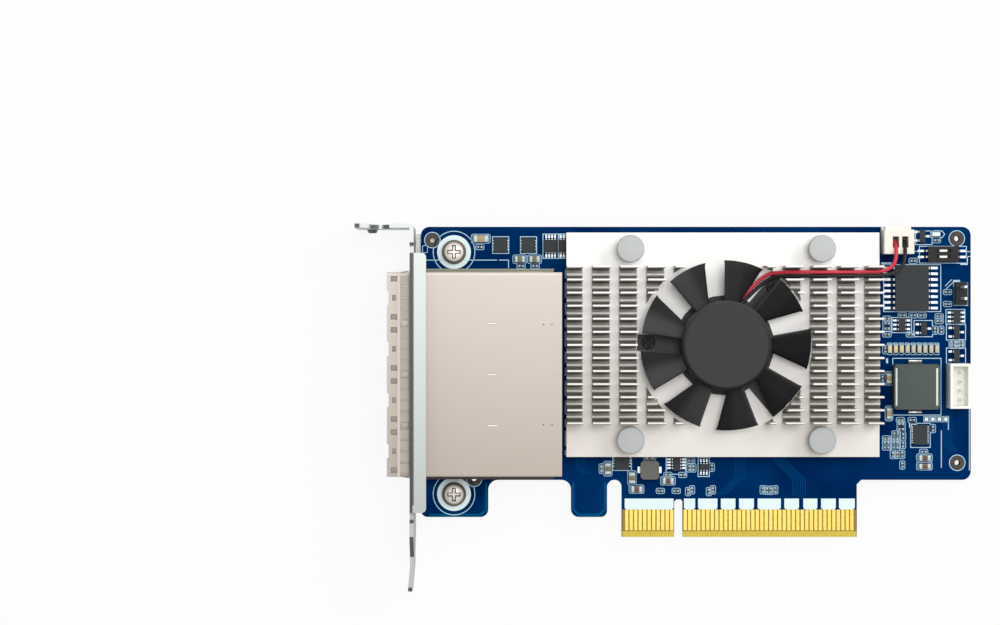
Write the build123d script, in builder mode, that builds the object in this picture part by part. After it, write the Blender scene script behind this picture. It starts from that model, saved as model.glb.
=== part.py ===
# A low-profile storage controller card: circuit board, folded bracket, four-port external
# connector, finned heat sink with a nine-blade fan, and the small parts on the board.
#
# Frame, in millimetres: the card lies flat with its component side up. X = 0 is the middle of
# the key notch in the card edge and +X points away from the bracket. Y = 0 is the edge that
# enters the slot and +Y points to the card's far edge. Z = 0 is the board's component face.
import os
from math import cos, radians, sin, tan

from build123d import *

# Circuit board
BOARD_T = 1.57
BOARD_LEFT, BOARD_RIGHT = -57.2, 64.9
BOARD_TOP, BOARD_LOW = 68.9, 12.7
LOBE_LOW = 4.46
LOBE_RIGHT = -42.24
HOOK_LEFT, HOOK_RIGHT = -23.85, -15.86
CORNER_R = 1.9
KEY_W, KEY_TOP = 1.9, 8.35
FIRST_SECTION, SECOND_SECTION = 11.65, 38.65
TAB_LEFT = -KEY_W / 2 - FIRST_SECTION
TAB_RIGHT = KEY_W / 2 + SECOND_SECTION
BEVEL_DEPTH, BEVEL_RUN = 0.4, 1.3
TOOLING_R = 0.6
FIXING_HOLE_R = 1.65
INNER_CORNER = 1.0
TOOLING = [(-54.65, 65.95), (61.8, 66.3), (61.9, 16.5), (-45.4, 12.95)]

# Small round parts are drawn with few sides.
DISC_SIDES, HEAD_SIDES, SMALL_SIDES, SPRING_SIDES = 28, 16, 8, 6

# Card-edge contacts
CONTACT_PITCH = 1.0
CONTACT_W, CONTACT_T = 0.7, 0.04
CONTACT_LOW, CONTACT_TOP = 1.5, 6.1
CONTACTS_FIRST, CONTACTS_SECOND = 11, 38
KEY_TO_CONTACT = 0.55

# Bracket
SHEET_T = 0.9
BRACKET_X = -59.3
BRACKET_LOW_Z, BRACKET_HIGH_Z = -4.12, 14.3
NOTCH_Z = BRACKET_HIGH_Z - 2.05
BRACKET_TOP = 69.2
FLANGE_LOW, FLANGE_TOP, FLANGE_W = 6.36, 62.84, 3.6
TONGUE_Z0, TONGUE_Z1 = -0.06, 10.12
TAPER_TOP, TAPER_LOW, TONGUE_BEND, TONGUE_LOW = 0.47, -3.53, -5.7, -11.2
TONGUE_TILT = radians(5)
EAR_END = -71.3
EAR_SLOT_W, EAR_SLOT_X, EAR_SLOT_Z = 4.42, -65.87, 5.0
DIMPLE = (-68.0, -1.0)
DIMPLE_R, DIMPLE_H, DIMPLE_TAPER = 1.3, 0.8, 28
WINDOW_Z0, WINDOW_Z1 = -1.06, 11.07
WINDOW_LOW, WINDOW_TOP = 13.5, 59.15
FIXING_TOP_Z = -BOARD_T
FIXING_LOW_Z = FIXING_TOP_Z - SHEET_T
FIXING_W, FIXING_END, FIXING_CORNER = 8.1, -45.8, 2.3
SHEET_CORNER = 0.7
THREAD_BOSS_R, THREAD_BOSS_H, THREAD_R = 2.1, 0.8, 1.55
VENT_ACROSS = 4.5
VENTS = [(64.64, 0.76), (64.64, 9.26), (62.19, 5.0)]

# Bracket screws
SCREW_X = -49.85
SCREW_Y = [63.3, 9.55]
SCREW_R, SCREW_TIP = 1.45, -3.6
SCREW_HEAD_R, SCREW_HEAD_H, SCREW_HEAD_EDGE = 2.7, 1.9, 0.7

# Four-port connector
PORTS = 4
CAGE_FRONT, CAGE_REAR = -64.34, -26.1
CAGE_LOW_Y, CAGE_HIGH_Y = 14.0, 58.65
CAGE_H, CAGE_T = 10.6, 0.35
PORT_PITCH = (CAGE_HIGH_Y - CAGE_LOW_Y) / PORTS
PORT_Y = [CAGE_LOW_Y + PORT_PITCH * (i + 0.5) for i in range(PORTS)]
SEAM_Y = [CAGE_LOW_Y + PORT_PITCH * i for i in range(1, PORTS)]
LATCH_X = -62.78
LATCH_WINDOWS = [(1.46, -4.16), (0.81, 0.0), (1.46, 4.16)]
LATCH_WINDOW_Y = 1.2
LEAD_IN_W, LEAD_IN_DEPTH = 3.62, 0.44
DIVIDER_T, DIVIDER_TAB_X, DIVIDER_TAB_L = 0.3, -41.25, 2.1
LAP_OUT, LAP_H, LAP_FRONT, LAP_REAR = 0.85, 5.4, -56.0, -27.75
TAIL_W, TAIL_LOW, TAIL_STEP, TAILS, FIRST_TAIL = 0.6, -2.4, 4.0, 4, -43.6
FINGER_FRONT, FINGER_BACK = -61.45, -59.5
FINGER_W, FINGER_PITCH, FINGER_T, FINGER_FLARE = 2.05, 2.46, 0.12, 0.4
FINGER_BAND = 0.6
HOUSING_FRONT, HOUSING_REAR = -45.0, -26.6
HOUSING_W, HOUSING_Z0, HOUSING_Z1 = 10.3, 0.45, 10.15
CARD_SLOT_W, CARD_SLOT_H, CARD_SLOT_DEPTH = 8.6, 1.5, 7.0
CARD_SLOT_Z = [3.1, 7.5]

# Controller and heat sink
CHIP_L, CHIP_Z, CHIP_CAP_L, CHIP_CAP_Z = 27.0, 1.3, 18.0, 2.1
SINK_X, SINK_Y = 9.55, 42.76
SINK_L, SINK_W = 69.04, 49.5
SINK_Z, PLATE_T = 2.5, 1.7
PLATE_TOP = SINK_Z + PLATE_T
FIN_TOP = 12.2
FIN_T, FIN_PITCH, FIN_ROWS = 0.5, 2.848, 13
RIDGE_H = 1.4
LANE_PITCH, LANE_W, LANES = 6.005, 2.1, 11
FIRST_LANE = -20.44
POCKET_R = 19.4

# Push pins and their springs
PIN_X = [-11.05, 30.89]
PIN_Y = [21.88, 63.85]
PIN_HEAD_R, PIN_HEAD_Z0, PIN_HEAD_Z1 = 3.0, 8.0, 9.6
PIN_R = 1.45
BARB_R, BARB_TIP_R, BARB_LOW = 1.95, 1.2, -3.95
SPRING_R, SPRING_BORE_R = 2.3, 1.8

# Fan
FAN_X, FAN_Y = 9.75, 42.65
FAN_BASE_R, FAN_BASE_T = 11.0, 0.9
FAN_BASE_TOP = PLATE_TOP + FAN_BASE_T
ARM_ANGLES = [178, 50, -50]
ARM_W, ARM_END, ARM_SCREW_R = 3.6, 19.1, 16.7
ARM_SCREWS = [(FAN_X + ARM_SCREW_R * cos(radians(a)), FAN_Y + ARM_SCREW_R * sin(radians(a))) for a in ARM_ANGLES]
SMALL_SCREW_R, SMALL_HOLE_R = 0.7, 0.8
SMALL_HEAD_R, SMALL_HEAD_H, SMALL_SCREW_TIP = 1.5, 0.7, 2.9
TUBE_R, TUBE_BORE_R, TUBE_FLOOR, TUBE_TOP = 2.2, 1.3, 0.3, 10.1
BEARING_BORE_R, BORE_SIDES, BEARING_LOW = 0.8, 12, 5.6
SHAFT_R, SHAFT_LOW, SHAFT_TOP = 0.75, 4.8, 12.2
CLIP_R, CLIP_Z, CLIP_T = 1.1, 5.05, 0.25
DRIVER_R, DRIVER_T = 8.6, 0.5
STATOR_Z0, STATOR_Z1, STATOR_R = 7.3, 9.3, 7.6
TOOTH_W = 1.6
SHOE_T, SHOE_W = 1.0, 5.6
COIL_L, COIL_W, COIL_START, COIL_OVER = 2.5, 3.6, 3.2, 0.8
HUB_R, HUB_WALL, HUB_LOW, HUB_TOP, HUB_RIM, HUB_SIDES = 9.85, 0.8, 6.6, 12.6, 0.5, 32
HUB_CEILING, HUB_BOSS_R, HUB_BOSS_LOW = 11.6, 2.0, 10.6
MAGNET_R, MAGNET_BORE_R, MAGNET_Z0, MAGNET_Z1 = 8.98, 8.25, 6.9, 10.9
BLADES, BLADE_T, FIRST_BLADE, BLADE_Z = 9, 0.75, 118, 9.3
BLADE_PANELS = [
    (34, [(9.3, 0), (9.3, -2.8), (17.75, -4.9), (18.25, -2.6), (18.4, 0)]),
    (16, [(9.3, 0), (18.4, 0), (18.3, 2.4), (17.85, 4.8), (9.3, 0.9)]),
]

# Fan leads, plug and header
LEAD_D = 0.85
PLUG_X0, PLUG_X1, PLUG_Y0, PLUG_Y1, PLUG_Z0, PLUG_Z1 = 44.9, 51.45, 62.77, 68.1, 1.5, 6.4
PLUG_WINDOW_X = [47.4, 49.45]
PLUG_WINDOW_W, PLUG_WINDOW_Y0, PLUG_WINDOW_Y1, PLUG_WINDOW_DEPTH = 1.4, 64.15, 66.6, 2.4


def rounded_face(corners, mode=Mode.ADD):
    """A flat face with straight sides. Each corner is ((u, v), radius)."""
    with BuildLine() as line:
        FilletPolyline(*[p for p, _ in corners], radius=[r for _, r in corners], close=True)
    make_face(line.edges(), mode=mode)


def cut_corners(sketch, points, size):
    """Cuts the sketch's corners at the given points."""
    chamfer([sketch.vertices().sort_by_distance((u, v, 0))[0] for u, v in points], size)


def place_box(x0, x1, y0, y1, z0, z1, mode=Mode.ADD):
    """A block between two corners."""
    with Locations((x0, y0, z0)):
        Box(x1 - x0, y1 - y0, z1 - z0, align=(Align.MIN, Align.MIN, Align.MIN), mode=mode)


def place_prism(x, y, r, z0, z1, sides, mode=Mode.ADD):
    """An upright bar with the given number of sides."""
    with BuildSketch(Plane.XY.offset(z0)) as outline:
        with Locations((x, y)):
            RegularPolygon(r, sides)
    extrude(outline.sketch, amount=z1 - z0, mode=mode)


# Circuit board: one routed outline, with the key notch in the card edge.
with BuildPart() as circuit_board:
    with BuildSketch(Plane.XY.offset(-BOARD_T)) as outline:
        rounded_face(
            [
                ((TAB_LEFT, 0), 0),
                ((-KEY_W / 2, 0), 0),
                ((-KEY_W / 2, KEY_TOP), 0),
                ((KEY_W / 2, KEY_TOP), 0),
                ((KEY_W / 2, 0), 0),
                ((TAB_RIGHT, 0), 0),
                ((TAB_RIGHT, BOARD_LOW), 0),
                ((BOARD_RIGHT, BOARD_LOW), CORNER_R),
                ((BOARD_RIGHT, BOARD_TOP), CORNER_R),
                ((BOARD_LEFT, BOARD_TOP), CORNER_R),
                ((BOARD_LEFT, LOBE_LOW), 1.5),
                ((LOBE_RIGHT, LOBE_LOW), 1.7),
                ((LOBE_RIGHT, BOARD_LOW), 0),
                ((HOOK_LEFT, BOARD_LOW), 0),
                ((HOOK_LEFT, LOBE_LOW), 1.7),
                ((HOOK_RIGHT, LOBE_LOW), 1.4),
                ((HOOK_RIGHT, BOARD_LOW), 0),
                ((TAB_LEFT, BOARD_LOW), 0),
            ]
        )
        inner_x = [LOBE_RIGHT, HOOK_LEFT, HOOK_RIGHT, TAB_LEFT, TAB_RIGHT]
        cut_corners(outline, [(x, BOARD_LOW) for x in inner_x], INNER_CORNER)
        cut_corners(outline, [(-KEY_W / 2, KEY_TOP), (KEY_W / 2, KEY_TOP)], KEY_W / 4)
        with Locations(*TOOLING):
            RegularPolygon(TOOLING_R, SMALL_SIDES, mode=Mode.SUBTRACT)
        with Locations(*[(SCREW_X, y) for y in SCREW_Y], *[(x, y) for x in PIN_X for y in PIN_Y]):
            RegularPolygon(FIXING_HOLE_R, SMALL_SIDES, mode=Mode.SUBTRACT)
    extrude(amount=BOARD_T)
    # Both faces are bevelled along the edge that enters the slot.
    for face_z, inward in ((0, -1), (-BOARD_T, 1)):
        with BuildSketch(Plane.YZ.offset(TAB_LEFT)):
            with BuildLine():
                Polyline((0, face_z), (BEVEL_RUN, face_z), (0, face_z + inward * BEVEL_DEPTH), close=True)
            make_face()
        extrude(amount=TAB_RIGHT - TAB_LEFT, mode=Mode.SUBTRACT)


# Card-edge contacts: plated strips on both faces.
first_contact = KEY_W / 2 + KEY_TO_CONTACT
contact_x = [-first_contact - CONTACT_PITCH * i for i in range(CONTACTS_FIRST)]
contact_x += [first_contact + CONTACT_PITCH * i for i in range(CONTACTS_SECOND)]

with BuildPart() as edge_contacts:
    for face_z in (0, -BOARD_T - CONTACT_T):
        with BuildSketch(Plane.XY.offset(face_z)):
            with Locations(*[(x, CONTACT_LOW) for x in contact_x]):
                Rectangle(CONTACT_W, CONTACT_TOP - CONTACT_LOW, align=(Align.CENTER, Align.MIN))
        extrude(amount=CONTACT_T)


# Bracket: a folded sheet. Its face stands in the YZ plane; the ear is folded outwards at the
# top, the stiffening flange and the two fixing tabs inwards, and the tongue leans out a little.
face_in = BRACKET_X + SHEET_T
tongue_plane = Plane(
    origin=(BRACKET_X, TONGUE_BEND, 0),
    x_dir=(sin(TONGUE_TILT), cos(TONGUE_TILT), 0),
    z_dir=(cos(TONGUE_TILT), -sin(TONGUE_TILT), 0),
)
tongue_l = TONGUE_BEND - TONGUE_LOW

with BuildPart() as bracket:
    with BuildSketch(Plane.YZ.offset(BRACKET_X)) as face_outline:
        Polygon(
            (TONGUE_BEND, TONGUE_Z0),
            (TAPER_LOW, TONGUE_Z0),
            (TAPER_TOP, BRACKET_LOW_Z),
            (4.1, BRACKET_LOW_Z),
            (4.1, FIXING_LOW_Z),
            (14.9, FIXING_LOW_Z),
            (14.9, BRACKET_LOW_Z),
            (57.8, BRACKET_LOW_Z),
            (57.8, FIXING_LOW_Z),
            (67.9, FIXING_LOW_Z),
            (67.9, BRACKET_LOW_Z),
            (BRACKET_TOP, BRACKET_LOW_Z),
            (BRACKET_TOP, BRACKET_HIGH_Z),
            (64.4, BRACKET_HIGH_Z),
            (64.4, NOTCH_Z),
            (FLANGE_TOP, NOTCH_Z),
            (FLANGE_TOP, BRACKET_HIGH_Z),
            (FLANGE_LOW, BRACKET_HIGH_Z),
            (FLANGE_LOW, NOTCH_Z),
            (4.8, NOTCH_Z),
            (4.8, BRACKET_HIGH_Z),
            (TAPER_TOP, BRACKET_HIGH_Z),
            (TAPER_LOW, TONGUE_Z1),
            (TONGUE_BEND, TONGUE_Z1),
            align=None,
        )
        low_corners = [(y, BRACKET_LOW_Z) for y in (TAPER_TOP, 4.1, 14.9, 57.8)]
        high_corners = [(y, BRACKET_HIGH_Z) for y in (64.4, 4.8, TAPER_TOP)]
        cut_corners(face_outline, low_corners + high_corners, SHEET_CORNER)
        with Locations(((WINDOW_LOW + WINDOW_TOP) / 2, (WINDOW_Z0 + WINDOW_Z1) / 2)):
            Rectangle(WINDOW_TOP - WINDOW_LOW, WINDOW_Z1 - WINDOW_Z0, mode=Mode.SUBTRACT)
        with Locations(*VENTS):
            RegularPolygon(VENT_ACROSS / 2, 6, rotation=30, mode=Mode.SUBTRACT)
    extrude(amount=SHEET_T)
    # Ear, with a screw slot open towards the component side.
    with BuildSketch(Plane.XZ.offset(-BRACKET_TOP)):
        rounded_face(
            [
                ((face_in, BRACKET_LOW_Z), 0),
                ((face_in, BRACKET_HIGH_Z), 0),
                ((EAR_END, BRACKET_HIGH_Z), 1.4),
                ((EAR_END, BRACKET_LOW_Z), 1.4),
            ]
        )
        rounded_face(
            [
                ((EAR_SLOT_X - EAR_SLOT_W / 2, BRACKET_HIGH_Z + 1), 0),
                ((EAR_SLOT_X - EAR_SLOT_W / 2, EAR_SLOT_Z), 2.2),
                ((EAR_SLOT_X + EAR_SLOT_W / 2, EAR_SLOT_Z), 2.2),
                ((EAR_SLOT_X + EAR_SLOT_W / 2, BRACKET_HIGH_Z + 1), 0),
            ],
            mode=Mode.SUBTRACT,
        )
    extrude(amount=SHEET_T)
    with BuildSketch(Plane.XZ.offset(-(BRACKET_TOP - SHEET_T))):
        with Locations(DIMPLE):
            RegularPolygon(DIMPLE_R, SMALL_SIDES)
    extrude(amount=DIMPLE_H, taper=DIMPLE_TAPER)
    # Stiffening flange along the component side.
    with BuildSketch(Plane.XY.offset(BRACKET_HIGH_Z - SHEET_T)):
        rounded_face(
            [
                ((BRACKET_X, FLANGE_LOW), 0),
                ((BRACKET_X + FLANGE_W, FLANGE_LOW), 1.0),
                ((BRACKET_X + FLANGE_W, FLANGE_TOP), 1.0),
                ((BRACKET_X, FLANGE_TOP), 0),
            ]
        )
    extrude(amount=SHEET_T)
    # Fixing tabs under the board, each with an extruded and threaded hole.
    for y in SCREW_Y:
        with BuildSketch(Plane.XY.offset(FIXING_LOW_Z)) as tab:
            with Locations((BRACKET_X, y)):
                Rectangle(FIXING_END - BRACKET_X, FIXING_W, align=(Align.MIN, Align.CENTER))
            cut_corners(tab, [(FIXING_END, y - FIXING_W / 2), (FIXING_END, y + FIXING_W / 2)], FIXING_CORNER)
        extrude(amount=SHEET_T)
        boss_low = FIXING_LOW_Z - THREAD_BOSS_H
        place_prism(SCREW_X, y, THREAD_BOSS_R, boss_low, FIXING_LOW_Z, SMALL_SIDES)
        place_prism(SCREW_X, y, THREAD_R, boss_low, FIXING_TOP_Z, SMALL_SIDES, mode=Mode.SUBTRACT)
    # Tongue: the last few millimetres lean outwards.
    with BuildSketch(tongue_plane):
        rounded_face(
            [
                ((-tongue_l, TONGUE_Z0), 1.2),
                ((0.1, TONGUE_Z0), 0),
                ((0.1, TONGUE_Z1), 0),
                ((-tongue_l, TONGUE_Z1), 1.2),
            ]
        )
    extrude(amount=SHEET_T)
    # Bend lines of the flange and the ear.
    flange_bend = bracket.edges().filter_by(Axis.Y).sort_by_distance((BRACKET_X, 35, BRACKET_HIGH_Z))[0]
    fillet(flange_bend, 0.8)
    ear_bend = bracket.edges().filter_by(Axis.Z).sort_by_distance((face_in, BRACKET_TOP, 5))[0]
    fillet(ear_bend, 1.1)


# Bracket screws: pan heads, threaded into the bracket's tabs.
with BuildPart() as bracket_screws:
    for y in SCREW_Y:
        place_prism(SCREW_X, y, SCREW_R, SCREW_TIP, 0, SMALL_SIDES)
        place_prism(SCREW_X, y, SCREW_HEAD_R, 0, SCREW_HEAD_H - SCREW_HEAD_EDGE, HEAD_SIDES)
        with BuildSketch(Plane.XY.offset(SCREW_HEAD_H - SCREW_HEAD_EDGE)):
            with Locations((SCREW_X, y)):
                RegularPolygon(SCREW_HEAD_R, HEAD_SIDES)
        extrude(amount=SCREW_HEAD_EDGE, taper=45)


# Connector cage: a folded cover over four ports, open at the front and below.
inner_low_y, inner_high_y = CAGE_LOW_Y + CAGE_T, CAGE_HIGH_Y - CAGE_T
with BuildPart() as cage_cover:
    place_box(CAGE_FRONT, CAGE_REAR, CAGE_LOW_Y, CAGE_HIGH_Y, CAGE_T, CAGE_H)
    fillet(cage_cover.edges().group_by(Axis.Z)[-1].filter_by(Axis.X), 0.35)
    place_box(CAGE_FRONT, CAGE_REAR - CAGE_T, inner_low_y, inner_high_y, CAGE_T, CAGE_H - CAGE_T, mode=Mode.SUBTRACT)
    with BuildSketch(Plane.XY.offset(CAGE_H)):
        for port_y in PORT_Y:
            for window_x, shift in LATCH_WINDOWS:
                with Locations((LATCH_X, port_y + shift)):
                    Rectangle(window_x, LATCH_WINDOW_Y)
            with Locations((CAGE_FRONT, port_y)):
                Trapezoid(LEAD_IN_W, 2 * LEAD_IN_DEPTH, 63, rotation=-90)
        for seam_y in SEAM_Y:
            with Locations((DIVIDER_TAB_X, seam_y)):
                Rectangle(DIVIDER_TAB_L + 0.1, DIVIDER_T + 0.1)
    extrude(amount=-CAGE_T * 2, mode=Mode.SUBTRACT)


# Cage base: a tray under the cover, with side laps and press-fit tails into the board.
with BuildPart() as cage_base:
    with BuildSketch():
        with Locations(((CAGE_FRONT + CAGE_REAR) / 2, (CAGE_LOW_Y + CAGE_HIGH_Y) / 2)):
            Rectangle(CAGE_REAR - CAGE_FRONT, CAGE_HIGH_Y - CAGE_LOW_Y)
        with Locations(((LAP_FRONT + LAP_REAR) / 2, (CAGE_LOW_Y + CAGE_HIGH_Y) / 2)):
            Rectangle(LAP_REAR - LAP_FRONT, CAGE_HIGH_Y - CAGE_LOW_Y + 2 * LAP_OUT)
    extrude(amount=CAGE_T)
    for lap_y in (CAGE_LOW_Y - LAP_OUT, CAGE_HIGH_Y + LAP_OUT - CAGE_T):
        place_box(LAP_FRONT, LAP_REAR, lap_y, lap_y + CAGE_T, 0, LAP_H)
        for i in range(TAILS):
            tail_x = FIRST_TAIL + TAIL_STEP * i
            place_box(tail_x, tail_x + TAIL_W, lap_y, lap_y + CAGE_T, TAIL_LOW, 0)


# Dividers between the ports; a tab on each one closes a slot in the cover.
with BuildPart() as cage_dividers:
    for seam_y in SEAM_Y:
        y0, y1 = seam_y - DIVIDER_T / 2, seam_y + DIVIDER_T / 2
        place_box(CAGE_FRONT + 0.3, CAGE_REAR - CAGE_T, y0, y1, CAGE_T, CAGE_H - CAGE_T)
        tab_x = DIVIDER_TAB_X - DIVIDER_TAB_L / 2
        place_box(tab_x, tab_x + DIVIDER_TAB_L, y0, y1, CAGE_H - CAGE_T, CAGE_H)


# Collar of spring fingers round the cage, just in front of the bracket.
finger_run = FINGER_BACK - FINGER_FRONT
finger_section = [(0, 0), (finger_run, FINGER_FLARE), (0, FINGER_T)]
end_finger_z = [2.2, 4.9, 7.6]
with BuildPart() as spring_fingers:
    place_box(FINGER_FRONT - FINGER_BAND, FINGER_FRONT, CAGE_LOW_Y, CAGE_HIGH_Y, CAGE_H, CAGE_H + FINGER_T)
    place_box(FINGER_FRONT - FINGER_BAND, FINGER_FRONT, CAGE_LOW_Y, CAGE_HIGH_Y, -FINGER_T, 0)
    for y0 in (CAGE_LOW_Y - FINGER_T, CAGE_HIGH_Y):
        place_box(FINGER_FRONT - FINGER_BAND, FINGER_FRONT, y0, y0 + FINGER_T, -FINGER_T, CAGE_H + FINGER_T)
    for port_y in PORT_Y:
        for i in range(4):
            finger_y = port_y + FINGER_PITCH * (i - 1.5)
            for z0, out in ((CAGE_H, 1), (0, -1)):
                with BuildSketch(Plane.XZ.offset(-finger_y)):
                    with Locations((FINGER_FRONT, z0)):
                        Polygon(*[(u, out * v) for u, v in finger_section], align=None)
                extrude(amount=FINGER_W / 2, both=True)
    for finger_z in end_finger_z:
        for y0, out in ((CAGE_HIGH_Y, 1), (CAGE_LOW_Y, -1)):
            with BuildSketch(Plane.XY.offset(finger_z)):
                with Locations((FINGER_FRONT, y0)):
                    Polygon(*[(u, out * v) for u, v in finger_section], align=None)
            extrude(amount=FINGER_W / 2, both=True)


# Receptacle housings: one block in each port, with two card slots facing out.
with BuildPart() as receptacle_housings:
    for port_y in PORT_Y:
        y0 = port_y - HOUSING_W / 2
        place_box(HOUSING_FRONT, HOUSING_REAR, y0, y0 + HOUSING_W, HOUSING_Z0, HOUSING_Z1)
        slot_y = port_y - CARD_SLOT_W / 2
        for slot_z in CARD_SLOT_Z:
            z0 = slot_z - CARD_SLOT_H / 2
            slot_end = HOUSING_FRONT + CARD_SLOT_DEPTH
            place_box(HOUSING_FRONT, slot_end, slot_y, slot_y + CARD_SLOT_W, z0, z0 + CARD_SLOT_H, mode=Mode.SUBTRACT)


# Controller chip and the pad that carries its heat to the sink.
with BuildPart() as controller_chip:
    with BuildSketch():
        with Locations((FAN_X, FAN_Y)):
            Rectangle(CHIP_L, CHIP_L)
    extrude(amount=CHIP_Z)
    with BuildSketch(Plane.XY.offset(CHIP_Z)):
        with Locations((FAN_X, FAN_Y)):
            Rectangle(CHIP_CAP_L, CHIP_CAP_L)
    extrude(amount=CHIP_CAP_Z - CHIP_Z)

with BuildPart() as thermal_pad:
    with BuildSketch(Plane.XY.offset(CHIP_CAP_Z)):
        with Locations((FAN_X, FAN_Y)):
            Rectangle(CHIP_CAP_L, CHIP_CAP_L)
    extrude(amount=SINK_Z - CHIP_CAP_Z)


# Heat sink: fins and low ridges run along X, cross-cut by lanes, with a round pocket for the fan.
fin_y = [SINK_Y + FIN_PITCH * (i - (FIN_ROWS - 1) / 2) for i in range(FIN_ROWS)]
ridge_half = (FIN_PITCH - FIN_T) / 2
with BuildPart() as heat_sink:
    with BuildSketch(Plane.XY.offset(SINK_Z)):
        with Locations((SINK_X, SINK_Y)):
            Rectangle(SINK_L, SINK_W)
    extrude(amount=PLATE_T)
    with BuildSketch(Plane.YZ.offset(SINK_X - SINK_L / 2)):
        for y in fin_y:
            with Locations((y, PLATE_TOP)):
                Rectangle(FIN_T, FIN_TOP - PLATE_TOP, align=(Align.CENTER, Align.MIN))
        for y in fin_y[:-1]:
            with Locations((y + FIN_PITCH / 2, PLATE_TOP)):
                Polygon((-ridge_half, 0), (ridge_half, 0), (0, RIDGE_H), align=None)
    extrude(amount=SINK_L)
    for i in range(LANES):
        lane_x = FIRST_LANE + LANE_PITCH * i - LANE_W / 2
        place_box(lane_x, lane_x + LANE_W, fin_y[0] - 2, fin_y[-1] + 2, PLATE_TOP, FIN_TOP + 1, mode=Mode.SUBTRACT)
    with Locations((FAN_X, FAN_Y, PLATE_TOP)):
        Cylinder(POCKET_R, 10, align=(Align.CENTER, Align.CENTER, Align.MIN), mode=Mode.SUBTRACT)
    for x in PIN_X:
        for y in PIN_Y:
            place_prism(x, y, FIXING_HOLE_R, SINK_Z, PLATE_TOP, SMALL_SIDES, mode=Mode.SUBTRACT)
    for x, y in ARM_SCREWS:
        place_prism(x, y, SMALL_HOLE_R, SMALL_SCREW_TIP, PLATE_TOP, SMALL_SIDES, mode=Mode.SUBTRACT)


# Push pins: a round head, a shank through heat sink and board, and a barb that snaps under it.
with BuildPart() as push_pins:
    for x in PIN_X:
        for y in PIN_Y:
            place_prism(x, y, PIN_HEAD_R, PIN_HEAD_Z0, PIN_HEAD_Z1, HEAD_SIDES)
            place_prism(x, y, PIN_R, -BOARD_T, PIN_HEAD_Z0, SMALL_SIDES)
            for z, r in ((-BOARD_T, BARB_R), (BARB_LOW, BARB_TIP_R)):
                with BuildSketch(Plane.XY.offset(z)):
                    with Locations((x, y)):
                        RegularPolygon(r, SMALL_SIDES)
            loft()


# Push pin springs, as the sleeve that each closed coil fills.
with BuildPart() as push_pin_springs:
    for x in PIN_X:
        for y in PIN_Y:
            place_prism(x, y, SPRING_R, PLATE_TOP, PIN_HEAD_Z0, SPRING_SIDES)
            place_prism(x, y, SPRING_BORE_R, PLATE_TOP, PIN_HEAD_Z0, SPRING_SIDES, mode=Mode.SUBTRACT)


# Fan base: a disc with three arms, and the tube that holds the bearing.
with BuildPart() as fan_base:
    with BuildSketch(Plane.XY.offset(PLATE_TOP)):
        with Locations((FAN_X, FAN_Y)):
            RegularPolygon(FAN_BASE_R, DISC_SIDES)
        for angle in ARM_ANGLES:
            with Locations(Location((FAN_X, FAN_Y), angle)):
                Rectangle(ARM_END, ARM_W, align=(Align.MIN, Align.CENTER))
        with Locations(*ARM_SCREWS):
            RegularPolygon(SMALL_HOLE_R, SMALL_SIDES, mode=Mode.SUBTRACT)
    extrude(amount=FAN_BASE_T)
    place_prism(FAN_X, FAN_Y, TUBE_R, PLATE_TOP, TUBE_TOP, SMALL_SIDES)
    place_prism(FAN_X, FAN_Y, TUBE_BORE_R, PLATE_TOP + TUBE_FLOOR, TUBE_TOP, SMALL_SIDES, mode=Mode.SUBTRACT)


# Small screws that hold the fan's arms to the heat sink.
with BuildPart() as fan_screws:
    for x, y in ARM_SCREWS:
        place_prism(x, y, SMALL_SCREW_R, SMALL_SCREW_TIP, FAN_BASE_TOP, SMALL_SIDES)
        place_prism(x, y, SMALL_HEAD_R, FAN_BASE_TOP, FAN_BASE_TOP + SMALL_HEAD_H, SMALL_SIDES)


# Fan driver board, stator core and its four coils, round the bearing tube.
with BuildPart() as fan_driver_board:
    place_prism(FAN_X, FAN_Y, DRIVER_R, FAN_BASE_TOP, FAN_BASE_TOP + DRIVER_T, HEAD_SIDES)
    place_prism(FAN_X, FAN_Y, TUBE_R, FAN_BASE_TOP, FAN_BASE_TOP + DRIVER_T, SMALL_SIDES, mode=Mode.SUBTRACT)

with BuildPart() as stator_core:
    with BuildSketch(Plane.XY.offset(STATOR_Z0)):
        with Locations((FAN_X, FAN_Y)):
            for angle in (0, 90, 180, 270):
                with Locations(Location((0, 0), angle)):
                    Rectangle(STATOR_R - 0.5, TOOTH_W, align=(Align.MIN, Align.CENTER))
                with Locations(Location((0, 0), angle)):
                    with Locations((STATOR_R - 0.5, 0)):
                        Rectangle(SHOE_T, SHOE_W, align=(Align.MAX, Align.CENTER))
            RegularPolygon(TUBE_R + 0.8, SMALL_SIDES)
            RegularPolygon(TUBE_R, SMALL_SIDES, mode=Mode.SUBTRACT)
    extrude(amount=STATOR_Z1 - STATOR_Z0)

coil_end = COIL_START + COIL_L
with BuildPart() as stator_coils:
    for angle in (0, 90, 180, 270):
        with BuildSketch(Plane.XY.offset(STATOR_Z0 - COIL_OVER)):
            with Locations(Location((FAN_X, FAN_Y), angle)):
                with Locations((COIL_START + COIL_L / 2, 0)):
                    Rectangle(COIL_L, COIL_W)
        extrude(amount=STATOR_Z1 - STATOR_Z0 + 2 * COIL_OVER)
        with BuildSketch(Plane.XY.offset(STATOR_Z0)):
            with Locations(Location((FAN_X, FAN_Y), angle)):
                Rectangle(coil_end + 1, TOOTH_W, align=(Align.MIN, Align.CENTER))
        extrude(amount=STATOR_Z1 - STATOR_Z0, mode=Mode.SUBTRACT)


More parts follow.
